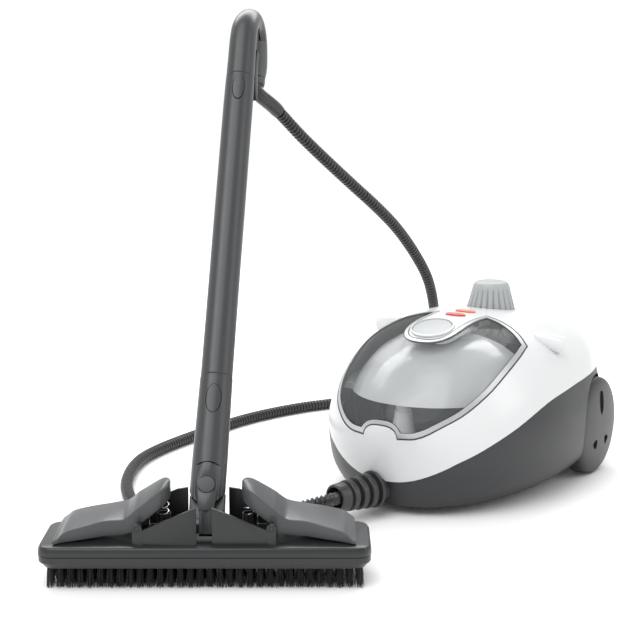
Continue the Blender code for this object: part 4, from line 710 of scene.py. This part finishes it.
# ---- grey base
base = body_solid("base", 0.0, GREY)
combine(base, below_parting("low", 0.0), "INTERSECT")
combine(base, body_solid("cavity", WALL))
for side in (1, -1):
    cup_start = (WHEEL_U, side * (WELL_V - WALL), WHEEL_RADIUS)
    start = (WHEEL_U, side * WELL_V, WHEEL_RADIUS)
    end = (WHEEL_U, side * 0.20, WHEEL_RADIUS)
    cup = rod("cup", cup_start, end, WELL_RADIUS + WALL, CANISTER, GREY, 96)
    combine(cup, body_solid("trim", 0.0004), "INTERSECT")
    combine(base, cup, "UNION")
    combine(base, rod("well", start, end, WELL_RADIUS, CANISTER, GREY, 96))
combine(base, rod("boss", (CASTER_U, 0, 0.0100), (CASTER_U, 0, 0.0368), 0.0228, CANISTER, GREY), "UNION")
combine(base, rod("well", (CASTER_U, 0, -0.01), (CASTER_U, 0, 0.0340), 0.0200, CANISTER, GREY))
combine(base, rod("bore", (CASTER_U, 0, 0.02), (CASTER_U, 0, 0.05), 0.0034, CANISTER, GREY))
axle_start = (WHEEL_U, -0.15, WHEEL_RADIUS)
axle_end = (WHEEL_U, 0.15, WHEEL_RADIUS)
combine(base, rod("bore", axle_start, axle_end, AXLE_BORE, CANISTER, GREY))
combine(base, cylinder("bore", GLAND_BORE, -0.03, 0.03, GLAND, GREY))
combine(base, rod("bore", (-0.21, -0.040, 0.050), (-0.16, -0.040, 0.050), 0.0072, CANISTER, GREY))
place(shade(base), "machine", "base_shell")

# ---- lid
frame_base = lid_layer("lid_frame_groove", 0.0009, 0.0026, EDGE, 0.0006, LID_FRAME_WIDTH)
for side in (1, -1):
    arm_low = (LID_HINGE[0] - 0.0030, side * LID_ARM_V - 0.0021, LID_HINGE[1] - 0.0022)
    arm_high = (LID_HINGE[0] + 0.0030, side * LID_ARM_V + 0.0021, LID_HINGE[1] + 0.0035)
    combine(frame_base, block("arm", arm_low, arm_high, CANISTER, EDGE), "UNION")
place(shade(frame_base), "lid", "lid_frame")

band = lid_layer("lid_frame_band", 0.0, 0.0008, SILVER, 0.0014, LID_FRAME_WIDTH - 0.0009)
place(shade(band), "lid")

pane = lid_layer("lid_pane", 0.0003, 0.0020, SMOKE, LID_FRAME_WIDTH + GAP)
place(shade(pane), "lid", "lid_window")

# ---- inside, seen through the pane
cover = inner_piece("boiler_dome", 0.0155, (0.026, -0.2, 0.118), (0.30, 0.2, 0.30), LINER, under=0.0177)
place(shade(cover), "machine", "boiler_cover")

flange = inner_piece("dome_flange", 0.0085, (0.026, -0.2, 0.1150), (0.105, 0.2, 0.1215), LINER, under=0.0180)
place(shade(flange), "machine", "boiler_cover")

# the tray and its rib are near-black as painted shade, standing for the shade in the cavity under the dome
tray = inner_piece("tray", 0.0080, (0.0240, -0.2, 0.0500), (0.30, 0.2, 0.1150), CAVITY_SHADE)
combine(tray, inner_piece("hollow", 0.0102, (0.0262, -0.2, 0.0522), (0.30, 0.2, 0.30), CAVITY_SHADE))
combine(tray, block("low rim", (0.0450, -0.2, 0.0850), (0.30, 0.2, 0.30), CANISTER, CAVITY_SHADE))
place(shade(tray), "machine", "storage_tray")

nozzle_profile = [(0, 0.0526), (0.0190, 0.0526), (0.0186, 0.0560), (0.0180, 0.0620), (0.0130, 0.0860),
                  (0.0100, 0.1010), (0.0095, 0.1075), (0.0080, 0.1080), (0.0085, 0.1090), (0.0085, 0.1170),
                  (0.0078, 0.1195), (0.0060, 0.1215), (0, 0.1225)]
nozzle_frame = CANISTER @ Matrix.Translation((0.136, 0, 0))
nozzle = turn("nozzle", nozzle_profile, nozzle_frame, SPOUT)
place(shade(nozzle), "machine", "spare_nozzle")
# the rib also takes the near-black painted shade of the cavity
rib = block("tray_rib", (0.1000, -0.0520, 0.0560), (0.1080, -0.0450, 0.1120), CANISTER, CAVITY_SHADE)
place(shade(rib, bevel=0.0008), "machine", "storage_tray")

# ---- controls on top
button_profile = [(0, -0.0075), (BUTTON_RADIUS - 0.004, -0.0075), (BUTTON_RADIUS, -0.0065),
                  (BUTTON_RADIUS, -0.0004), (BUTTON_RADIUS - 0.0004, 0.0002),
                  (BUTTON_RADIUS - 0.0014, 0.0006), (0.0150, 0.0010), (0.0080, 0.0013), (0, 0.0014)]
place(shade(turn("power_button_top", button_profile, button_frame(BUTTON_U), PALE, 96), 40), "power_button",
      "push_button")

LENS_ROWS = [(-0.0050, 0.0), (0.0008, 0.0), (0.0015, -0.0004), (0.0020, -0.0012), (0.0023, -0.0026)]
for lens_name, lens_mat in (("lens_red", RED_LENS), ("lens_orange", ORANGE_LENS)):
    loops = []
    for height, grow in LENS_ROWS:
        outline = ellipse(LENS_HALF_DEPTH + grow, LENS_HALF_WIDTH + grow * 1.5)
        loops.append([(x, y, height) for x, y in outline])
    lens = loft(lens_name + "_cover", loops, button_frame(LENS_PLACES[lens_name]), lens_mat)
    place(shade(lens, 45), "machine", lens_name)

# ---- safety cap knob
FLUTES = 22
KNOB_ROWS = [(0.1891, 0.0284, 0.0012), (0.1900, 0.0288, 0.0020), (0.1935, 0.0282, 0.0022),
             (0.1980, 0.0270, 0.0022), (0.2030, 0.0256, 0.0020), (0.2080, 0.0243, 0.0018),
             (0.2120, 0.0232, 0.0015), (0.2150, 0.0225, 0.0007), (0.2180, 0.0216, 0.0003),
             (0.2205, 0.0202, 0.0), (0.2220, 0.0185, 0.0), (0.2230, 0.0155, 0.0), (0.2235, 0.0080, 0.0)]
knob_loops = []
for height, radius, flute in spline(KNOB_ROWS, 40):
    loop = []
    for k in range(FLUTES * 10):
        angle = 2 * math.pi * k / (FLUTES * 10)
        groove = max(0.0, math.cos(angle * FLUTES)) ** 3
        r = radius - max(flute, 0) * groove
        loop.append((r * math.cos(angle), r * math.sin(angle), height))
    knob_loops.append(loop)
cap_frame = CANISTER @ Matrix.Translation((CAP_U, 0, 0))
place(shade(loft("knob", knob_loops, cap_frame, PALE), 50), "cap", "cap_knob")

# ---- side lugs
for side, lug_name in ((1, "lug_left"), (-1, "lug_right")):
    root_point = Vector((-0.006, side * 0.080, 0.1770))
    end_point = Vector((-0.019, side * 0.1190, 0.1665))
    length = (end_point - root_point).length
    lug_profile = [(0, 0.0060), (0.0050, 0.0068), (0.0080, 0.0110), (0.0095, 0.0190), (0.0101, 0.0280),
                   (0.0101, length - 0.0028), (0.0096, length - 0.0010), (0.0086, length), (0.0036, length),
                   (0.0032, length - 0.0008), (0.0030, length - 0.0060), (0, length - 0.0060)]
    lug_frame = CANISTER @ frame_along(end_point - root_point, root_point)
    lug = turn(lug_name + "_fairing", lug_profile, lug_frame, WHITE)
    combine(lug, body_solid("body", 0.0))
    place(shade(lug), "machine", lug_name)

# ---- wheels
# one half of each recess: distance from the axle and half width
DROP_HALF = [(0.013, 0.0), (0.018, 0.0040), (0.026, 0.0054), (0.035, 0.0056), (0.041, 0.0038), (0.0425, 0.0)]
CORNER_HALF = [(0.0190, 0.0), (0.0205, 0.0028), (0.0262, 0.0056), (0.0290, 0.0050), (0.0298, 0.0)]
for side, wheel_name, wheel_body in ((1, "wheel_left", "left_wheel"), (-1, "wheel_right", "right_wheel")):
    wheel_frame = CANISTER @ frame_along((0, side, 0), (WHEEL_U, 0, WHEEL_RADIUS), side=(0, 0, 1))
    outer = WHEEL_OUTER_V
    dome = [(0, 0.0030), (0.010, 0.0029), (0.020, 0.0026), (0.030, 0.0020), (0.038, 0.0013), (0.045, 0.0004),
            (0.0500, -0.0007), (0.0535, -0.0020), (0.0558, -0.0036), (0.0570, -0.0055), (0.0575, -0.0080)]
    wheel_profile = [(r, outer + h) for r, h in dome]
    wheel_profile += [(WHEEL_RADIUS, WHEEL_INNER_V + 0.003), (WHEEL_RADIUS - 0.003, WHEEL_INNER_V),
                      (0.050, WHEEL_INNER_V), (0.050, outer - 0.008), (0.012, outer - 0.006),
                      (0.012, WHEEL_INNER_V), (AXLE_BORE, WHEEL_INNER_V), (AXLE_BORE, outer - 0.005),
                      (0, outer - 0.005)]
    wheel = turn(wheel_name + "_disc", wheel_profile, wheel_frame, GREY, 96)
    for half, degrees in ((DROP_HALF, 0), (CORNER_HALF, 140), (CORNER_HALF, -140)):
        outline = spline(half + [(x, -y) for x, y in reversed(half[:-1])], 41)[:-1]
        recess_frame = wheel_frame @ Matrix.Rotation(math.radians(degrees), 4, "Z")
        combine(wheel, prism("recess", outline, outer - 0.0014, outer + 0.01, recess_frame, GREY))
    place(shade(wheel, 25), wheel_body, wheel_name)

# ---- hose gland
gland_profile = [(0.0105, -0.0200), (0.0145, -0.0185), (0.0145, 0.0080), (0.0196, 0.0082), (0.0200, 0.0088),
                 (0.0200, 0.0114), (0.0196, 0.0120)]
for k in range(3):
    ring_radius = 0.0186 - 0.0010 * k
    h = 0.0120 + 0.0120 * k
    gland_profile += [(ring_radius - 0.0042, h + 0.0003), (ring_radius - 0.0042, h + 0.0044),
                      (ring_radius - 0.0006, h + 0.0047), (ring_radius, h + 0.0054),
                      (ring_radius, h + 0.0112), (ring_radius - 0.0006, h + 0.0118)]
gland_profile += [(0.0136, 0.0484), (0.0136, 0.0508), (0.0152, 0.0511), (0.0157, 0.0518), (0.0151, 0.0622),
                  (0.0146, 0.0632), (0.0138, 0.0635), (0.0124, 0.0630), (0.0110, 0.0480), (0.0080, 0.0470),
                  (0.0080, -0.0200)]
gland = turn("gland_sleeve", gland_profile, GLAND, RUBBER, 72, pipe=True)
place(shade(gland), "machine", "hose_gland")

# ---- floor brush plates
head = softened("head_top", HEAD_GREY, 0.0008)
paint(head, BLACK, lambda centre: centre.y > 0.020 and centre.z > 0.043)
place(head, "machine", "head_top")
place(softened("rear_wall", BLACK, 0.0005), "machine", "rear_wall")
for side in (1, -1):
    wing_low, wing_high = sorted((side * 0.0472, side * 0.0572))
    wing = block("rear_wing", (wing_low, 0.0292, 0.0418), (wing_high, 0.0318, 0.0600), WORLD, BLACK)
    place(shade(wing, bevel=0.0004), "machine", "rear_wall")


def plate(name, levels, mat):
    loops = []
    for height, inset in levels:
        corner = 0.014 - inset * 0.5
        outline = rounded_rectangle(HEAD_HALF_WIDTH - inset, HEAD_HALF_DEPTH - inset, corner)
        loops.append([(x, y, height) for x, y in outline])
    return loft(name, loops, WORLD, mat)


SOLE_ROWS = [(HEAD_UNDER, 0.0065), (HEAD_UNDER + 0.0006, 0.0052), (HEAD_UNDER + 0.0030, 0.0036),
             (HEAD_UNDER + 0.0056, 0.0011), (HEAD_UNDER + 0.0066, 0.0006),
             (HEAD_SEAM - GAP - 0.0006, 0.0006), (HEAD_SEAM - GAP, 0.0012)]
sole = plate("sole_moulding", SOLE_ROWS, HEAD_GREY)
place(shade(sole, 20), "machine", "head_sole")

# tufts of nylon set in rows, each a bundle of thin strands
TUFTS_ACROSS = 32
TUFT_ROWS = 7
STRANDS = 19
chance = np.random.default_rng(7)
strand_verts = []
strand_faces = []
for row in range(TUFT_ROWS):
    for column in range(TUFTS_ACROSS):
        tuft_x = -0.1440 + 0.2880 * column / (TUFTS_ACROSS - 1)
        tuft_y = -0.0295 + 0.0590 * row / (TUFT_ROWS - 1)
        for strand in range(STRANDS):
            around = 2 * math.pi * strand / STRANDS * 2.4
            reach = math.sqrt((strand + 0.5) / STRANDS)
            across = reach * math.cos(around)
            deep = reach * math.sin(around)
            root = Vector((tuft_x + 0.0024 * across, tuft_y + 0.0024 * deep, HEAD_UNDER - 0.0004))
            splay = chance.normal(0, 0.0006, 2)
            tip = Vector((tuft_x + 0.0040 * across + splay[0], tuft_y + 0.0038 * deep + splay[1],
                          abs(chance.normal(0, 0.0004))))
            first = len(strand_verts)
            for point, width in ((root, 0.00033), (root.lerp(tip, 0.55), 0.00033), (tip, 0.00026)):
                for k in range(4):
                    angle = math.pi / 2 * k
                    strand_verts.append(point + Vector((width * math.cos(angle), width * math.sin(angle), 0)))
            for level in range(2):
                for k in range(4):
                    a = first + level * 4
                    strand_faces.append((a + k, a + (k + 1) % 4, a + 4 + (k + 1) % 4, a + 4 + k))
            strand_faces.append((first, first + 1, first + 2, first + 3))
            strand_faces.append((first + 8, first + 9, first + 10, first + 11))
tufts = make_object("bristle_tufts", strand_verts, strand_faces, WORLD, BRISTLE)
place(tufts, "machine", "bristle_block")

# ---- cloth clamps
# Each section: (distance out, front y, rear y, front top, rear top, underside)
CLAMP_SECTIONS = [
    (0.1405, -0.0335, 0.0320, 0.0455, 0.0475, 0.0428), (0.1360, -0.0320, 0.0335, 0.0475, 0.0505, 0.0428),
    (0.1290, -0.0280, 0.0340, 0.0527, 0.0547, 0.0430), (0.1120, -0.0230, 0.0340, 0.0565, 0.0587, 0.0440),
    (0.0940, -0.0180, 0.0330, 0.0600, 0.0620, 0.0455), (0.0780, -0.0160, 0.0315, 0.0607, 0.0655, 0.0462),
    (0.0710, -0.0160, 0.0262, 0.0645, 0.0710, 0.0480), (0.0660, -0.0160, 0.0236, 0.0690, 0.0760, 0.0500),
    (0.0590, -0.0158, 0.0232, 0.0745, 0.0805, 0.0575), (0.0440, -0.0130, 0.0170, 0.0865, 0.0910, 0.0690),
    (0.0370, -0.0085, 0.0105, 0.0900, 0.0940, 0.0745), (0.0338, -0.0035, 0.0050, 0.0905, 0.0930, 0.0795),
]


def clamp_loop(section, side, closed):
    """Section of the flap: over the top from front to rear, and back inside unless it is a closed end."""
    x, front, rear, front_top, rear_top, under = section
    soft = 0.0017
    corner = [(soft * (1 - math.cos(math.pi / 8 * k)), soft * 1.4 * (math.sin(math.pi / 8 * k) - 1))
              for k in range(1, 4)]
    outer = [(front, under), (front, front_top - soft * 1.4)]
    outer += [(front + back, front_top + rise) for back, rise in corner]
    for k in range(1, 6):
        t = k / 6
        crown = 0.0008 * math.sin(math.pi * t)
        height = front_top + (rear_top - front_top) * t + crown
        outer.append((front + soft + (rear - front - 2 * soft) * t, height))
    outer += [(rear - back, rear_top + rise) for back, rise in reversed(corner)]
    outer += [(rear, rear_top - soft * 1.4), (rear, under)]
    thin = 0.0022
    inner_front = min(front + thin, -0.0008)
    inner_rear = max(rear - thin, 0.0008)
    drop = min(thin, (front_top - under) * 0.45)
    inner = []
    for k in range(6):
        t = 1 - k / 5
        inner.append((inner_front + (inner_rear - inner_front) * t,
                      front_top + (rear_top - front_top) * t - drop - 0.0003))
    inner = [(inner_rear, under)] + inner + [(inner_front, under)]
    if closed:
        inner = [(y, under + 0.0002) for y, z in inner]
    return [(side * x, y, z) for y, z in outer + inner]


for side, clamp_name, clamp_body in ((1, "clamp_right", "right_clamp"), (-1, "clamp_left", "left_clamp")):
    sections = spline(CLAMP_SECTIONS, 56)
    loops = [clamp_loop(section, side, i in (0, len(sections) - 1)) for i, section in enumerate(sections)]
    clamp = loft(clamp_name + "_flap", loops, WORLD, PAD_GREY)
    x = side * CLAMP_PIN_X
    web = block("web", (x - 0.0045, -0.0120, CLAMP_PIN_Z), (x + 0.0045, 0.0120, 0.0690), WORLD, PAD_GREY)
    barrel = rod("barrel", (x, -0.0120, CLAMP_PIN_Z), (x, 0.0120, CLAMP_PIN_Z), 0.0045, WORLD, PAD_GREY)
    combine(web, barrel, "UNION")
    combine(clamp, web, "UNION")
    combine(clamp, rod("bore", (x, -0.04, CLAMP_PIN_Z), (x, 0.04, CLAMP_PIN_Z), 0.0023, WORLD, PAD_GREY))
    # the web and hinge barrel under the flap take the black finish as painted shade, standing for the shade
    # beneath the flap
    paint(clamp, BLACK, lambda centre: abs(abs(centre.x) - CLAMP_PIN_X) < 0.0048
          and abs(centre.y) < 0.0122 and centre.z < 0.0692)
    place(shade(clamp, 38), clamp_body, clamp_name)
    spring_name = clamp_name.replace("clamp", "clamp_spring")
    steps = SPRING_TURNS * 18
    coil = [(SPRING_RADIUS * math.cos(2 * math.pi * k / 18), SPRING_RADIUS * math.sin(2 * math.pi * k / 18),
             SPRING_FOOT + SPRING_HEIGHT * k / steps) for k in range(steps + 1)]
    spring_frame = Matrix.Translation((side * SPRING_X, SPRING_Y, 0))
    cup_profile = [(0.0057, 0.0419), (0.0067, 0.0419), (0.0067, 0.0612), (0.0057, 0.0612)]
    cup = turn(spring_name + "_cup", cup_profile, spring_frame, BLACK, pipe=True)
    place(shade(cup), "machine", spring_name)
    spring = tube_on_path(spring_name + "_coil", coil, [SPRING_WIRE] * len(coil), spring_frame, STEEL, 10)
    place(shade(spring, 60), "machine", spring_name)
    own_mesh(spring)

# ---- yoke and lance
place(softened("yoke", LANCE_GREY, 0.0006), "fork", "yoke")
yoke_axis = YOKE @ frame_along((0, 1, 0), (0, 0, PIVOT_S))
pin_profile = [(0, -0.0174), (PIN_RADIUS - 0.0010, -0.0174), (PIN_RADIUS - 0.0003, -0.0171),
               (PIN_RADIUS, -0.0165), (PIN_RADIUS, 0.0165), (PIN_RADIUS - 0.0003, 0.0171),
               (PIN_RADIUS - 0.0010, 0.0174), (0, 0.0174)]
place(shade(turn("swing_pin_disc", pin_profile, yoke_axis, LANCE_GREY)), "fork", "swing_pin")

LANCE_FLAT = LANCE @ SIDE_VIEW


def button_prism(name, s, half_x, half_s, grow, low, high):
    shape = [(x, s + z) for x, z in ellipse(half_x + grow, half_s + grow)]
    return prism(name, shape, low, high, LANCE_FLAT, LANCE_GREY)


neck_profile = [(0, 0.0150), (NECK_RADIUS, 0.0150), (NECK_RADIUS, 0.0650), (0.0169, 0.0800),
                (0.0166, 0.1000), (0.0163, 0.1250), (0.0161, NECK_TOP - 0.0008),
                (0.0158, NECK_TOP - 0.0002), (0.0154, NECK_TOP), (0.0136, NECK_TOP),
                (0.0136, NECK_TOP - 0.0028), (0.0126, NECK_TOP - 0.0028), (0.0126, 0.0990),
                (0.0060, 0.0980), (0.0060, 0.0680), (0, 0.0680)]
neck = turn("neck_tube", neck_profile, LANCE, LANCE_GREY)
round_end = [(NECK_RADIUS * math.cos(a), PIVOT_S + NECK_RADIUS * math.sin(a)) for a in
             [math.pi + math.pi * k / 32 for k in range(33)]]
end_outline = [(-0.03, 0.16), (-0.03, PIVOT_S)] + round_end + [(0.03, PIVOT_S), (0.03, 0.16)]
combine(neck, prism("round", end_outline, -0.03, 0.03, LANCE_FLAT, LANCE_GREY), "INTERSECT")
for side in (1, -1):
    low, high = sorted((side * (CHEEK_INNER - GAP), side * 0.03))
    combine(neck, rod("seat", (0, low, PIVOT_S), (0, high, PIVOT_S), CHEEK_REACH, LANCE, LANCE_GREY, 80))
combine(neck, rod("bore", (0, -0.03, PIVOT_S), (0, 0.03, PIVOT_S), PIN_RADIUS + GAP, LANCE, LANCE_GREY))
combine(neck, button_prism("bore", *OVAL, 0.0006, *HOLE_DEPTHS))
place(shade(neck), "lance_neck", "neck")


def release_button(name, s, half_x, half_s, outer, body, node):
    piece = turn(name, [(0.0132, s - 0.03), (outer, s - 0.03), (outer, s + 0.03), (0.0132, s + 0.03)],
                 LANCE, LANCE_GREY, pipe=True)
    combine(piece, button_prism("keep", s, half_x, half_s, 0.0, -0.03, -0.001), "INTERSECT")
    place(shade(piece), body, node)


release_button("neck_release_oval", *OVAL, 0.0168, "neck_catch", "neck_release")
release_button("tube_release_tongue", *TONGUE, TUBE_RADIUS, "tube_catch", "tube_release")

tube_profile = [(0.0085, NECK_TOP - 0.044), (0.0122, NECK_TOP - 0.044), (0.0122, NECK_TOP + GAP),
                (TUBE_RADIUS - 0.0005, NECK_TOP + GAP), (TUBE_RADIUS, NECK_TOP + 0.0011)]
tube_profile += [(TUBE_RADIUS, NECK_TOP + 0.0011 + 0.034 * k) for k in range(1, 10)]
tube_profile += [(TUBE_RADIUS - 0.0004, TUBE_TOP - 0.0006), (TUBE_RADIUS - 0.0009, TUBE_TOP),
                 (0.0136, TUBE_TOP), (0.0136, TUBE_TOP - 0.0028), (0.0126, TUBE_TOP - 0.0028),
                 (0.0126, TUBE_TOP - 0.0480), (0.0085, TUBE_TOP - 0.0490)]
tube = turn("lance_tube_shell", tube_profile, LANCE, LANCE_GREY, pipe=True)
combine(tube, button_prism("bore", *OVAL, 0.0008, *HOLE_DEPTHS))
combine(tube, button_prism("bore", SLOT_S - 0.0005, 0.0060, 0.0150, 0.0006, *HOLE_DEPTHS))
place(shade(tube), "lance_tube", "extension_tube")

# ---- handle
HANDLE_PATH = [(0, 0.000, 0.5050), (0, 0.000, 0.5380), (0, 0.0045, 0.5570), (0, 0.0175, 0.5735),
               (0, 0.0340, 0.5775), (0, 0.0475, 0.5700), (0, 0.0550, 0.5530), (0, 0.0575, 0.5360),
               (0, 0.0575, 0.5225)]
HANDLE_RADII = [(0.0149, 0.0149), (0.0146, 0.0146), (0.0142, 0.0140), (0.0132, 0.0128), (0.0120, 0.0120),
                (0.0114, 0.0121), (0.0113, 0.0124), (0.0112, 0.0122), (0.0098, 0.0102)]
path_points = [tuple(p) for p in spline(HANDLE_PATH, 81)]
radius_points = [tuple(r) for r in spline(HANDLE_RADII, 81)]
split = 52

joint_at = Vector(path_points[split])
joint_direction = (Vector(path_points[split + 1]) - Vector(path_points[split - 1])).normalized()
JOINT = HANDLE @ frame_along(joint_direction, joint_at)
handle = swept("handle_barrel", path_points[:split + 5], radius_points[:split + 5], HANDLE, LANCE_GREY)
combine(handle, cylinder("trim", 0.02, 0, 0.02, JOINT, LANCE_GREY))
barrel_profile = [(0, TUBE_TOP - 0.0430), (0.0122, TUBE_TOP - 0.0430), (0.0122, TUBE_TOP + GAP),
                  (0.0146, TUBE_TOP + GAP), (0.0151, TUBE_TOP + 0.0010), (0.0150, 0.5060), (0, 0.5060)]
combine(handle, turn("barrel", barrel_profile, HANDLE, LANCE_GREY, 48), "UNION")
combine(handle, button_prism("bore", *TONGUE, 0.0008, *HOLE_DEPTHS))
combine(handle, block("pocket", (-0.0070, 0.0190, 0.5450), (0.0070, 0.0415, 0.5735), HANDLE, LANCE_GREY))
place(shade(handle), "handle", "handle_shell")

grip = swept("handle_grip_insert", path_points[split - 4:], radius_points[split - 4:], HANDLE, GRIP_GREY)
combine(grip, cylinder("trim", 0.02, -0.02, GAP, JOINT, GRIP_GREY))
place(shade(grip), "handle", "handle_grip")
place(softened("trigger", BLACK, 0.0006), "steam_trigger", "trigger")

collar_profile = [(0.0030, -0.0003), (0.0094, -0.0003), (0.0099, -0.0012), (0.0101, -0.0025),
                  (0.0099, -0.0065), (0.0095, -0.0079), (0.0088, -0.0085), (0.0030, -0.0085)]
collar_at = Vector(HANDLE_PATH[-1])
collar_frame = HANDLE @ Matrix.Translation(collar_at)
collar = turn("hose_collar_ring", collar_profile, collar_frame, GRIP_GREY, pipe=True)
place(shade(collar), "handle", "hose_collar")

relief_start = HANDLE @ (collar_at + Vector((0, 0, -0.0088)))
relief_path = [relief_start]
relief_path += [Vector(p) for p in even_curve([relief_start - LANCE_UP * 0.0055] + RELIEF_ROUTE, 0.005)]
relief_end = relief_path[-1]
relief_direction = (relief_end - relief_path[-2]).normalized()
fine_relief = [Vector(p) for p in even_curve([tuple(p) for p in relief_path], 0.0012)]
sleeve_radii = [0.0080 - 0.0006 * max(0.0, (i - len(fine_relief) + 6) / 6) for i in range(len(fine_relief))]
sleeve = tube_on_path("hose_relief_sleeve", fine_relief, sleeve_radii, WORLD, RUBBER, 32)
place(shade(sleeve), "handle", "hose_relief")

# ---- corrugated hose
hose_start = GLAND @ Vector((0, 0, 0.0500))
hose_out = GLAND @ Vector((0, 0, 0.0680))
floor_points = [tuple(hose_start), tuple(hose_out)] + HOSE_FLOOR_ROUTE
rise_points = [HOSE_FLOOR_ROUTE[-1]] + HOSE_RISE_ROUTE + [tuple(relief_end + relief_direction * 0.0012)]
floor_line = even_curve(floor_points, HOSE_PITCH)
rise_line = even_curve(rise_points, HOSE_PITCH)
RIB_DEPTH = 0.0017
RIB = [(0.00, -RIB_DEPTH), (0.26, -RIB_DEPTH), (0.42, 0.0), (0.82, 0.0)]   # along one pitch, and how far in


def corrugated(name, centres):
    """Ribbed tube whose ribs follow the centres one by one, on a frame carried along the line."""
    places = []
    radii = []
    for a, b in zip(centres[:-1], centres[1:]):
        for along, inward in RIB:
            places.append(a + (b - a) * along)
            radii.append(HOSE_RADIUS + inward)
    places.append(centres[-1])
    radii.append(HOSE_RADIUS - RIB_DEPTH)
    return shade(tube_on_path(name, places, radii, WORLD, RUBBER, 20), 60)


lying = corrugated("hose_lying", floor_line)
place(lying, "machine", "hose_floor")

# the hanging part is in four lengths, cut evenly along its line
cuts = [round(k * (len(rise_line) - 1) / 4) for k in range(5)]
for k in range(4):
    line = rise_line[cuts[k]:cuts[k + 1] + 1]
    hanging = corrugated(f"hose_hanging_{k + 1}", line)
    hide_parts("hose_rise")
    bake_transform(hanging)

# ---- floor, light and camera
floor_mat = finish("studio_floor", (0.97, 0.97, 0.97), 0.7, uneven=0.02)
floor_corners = [(-14, -14, 0), (14, -14, 0), (14, 14, 0), (-14, 14, 0)]
floor = make_object("floor", floor_corners, [(0, 1, 2, 3)], WORLD, floor_mat)
floor.location.z = -0.0002
floor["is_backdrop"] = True

sky = bpy.data.worlds.new("studio")
sky.use_nodes = True
background = sky.node_tree.nodes["Background"]
direction = sky.node_tree.nodes.new("ShaderNodeTexCoord")
parts = sky.node_tree.nodes.new("ShaderNodeSeparateXYZ")
fade = sky.node_tree.nodes.new("ShaderNodeMapRange")
set_inputs(fade, {"From Min": 0.05, "From Max": 0.60, "To Min": 1.02, "To Max": 0.62})
sky.node_tree.links.new(direction.outputs["Generated"], parts.inputs["Vector"])
sky.node_tree.links.new(parts.outputs["Z"], fade.inputs["Value"])
sky.node_tree.links.new(fade.outputs["Result"], background.inputs["Strength"])
set_inputs(background, {"Color": (1, 1, 1, 1)})
bpy.context.scene.world = sky


def softbox(name, location, target, width, height, power):
    data = bpy.data.lights.new(name, "AREA")
    data.shape = "RECTANGLE"
    data.size = width
    data.size_y = height
    data.energy = power
    light = add_object(name, data)
    light.location = location
    aim = (Vector(target) - Vector(location)).to_track_quat("-Z", "Y")
    light.rotation_euler = aim.to_euler()


softbox("key", (-1.5, -0.9, 2.2), (0.1, 0.2, 0.1), 1.2, 1.0, 8)
softbox("side", (1.9, -0.2, 1.3), (0.2, 0.2, 0.1), 0.7, 1.6, 6)
softbox("back", (0.1, 1.7, 1.7), (0.1, 0.2, 0.1), 2.6, 0.8, 34)

sun_data = bpy.data.lights.new("sun", "SUN")
sun_data.energy = 1.6
sun_data.angle = math.radians(55)
sun = add_object("sun", sun_data)
sun.rotation_euler = Vector((0.30, 0.40, -0.87)).to_track_quat("-Z", "Y").to_euler()

camera_data = bpy.data.cameras.new("camera")
camera_data.sensor_width = 36
camera_data.lens = 80.38
camera = add_object("camera", camera_data)
camera.location = (0.101, -1.268, 0.479)
camera.rotation_euler = (math.radians(80), 0, 0)
bpy.context.scene.camera = camera
bpy.context.scene.view_settings.view_transform = "Standard"

low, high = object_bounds()
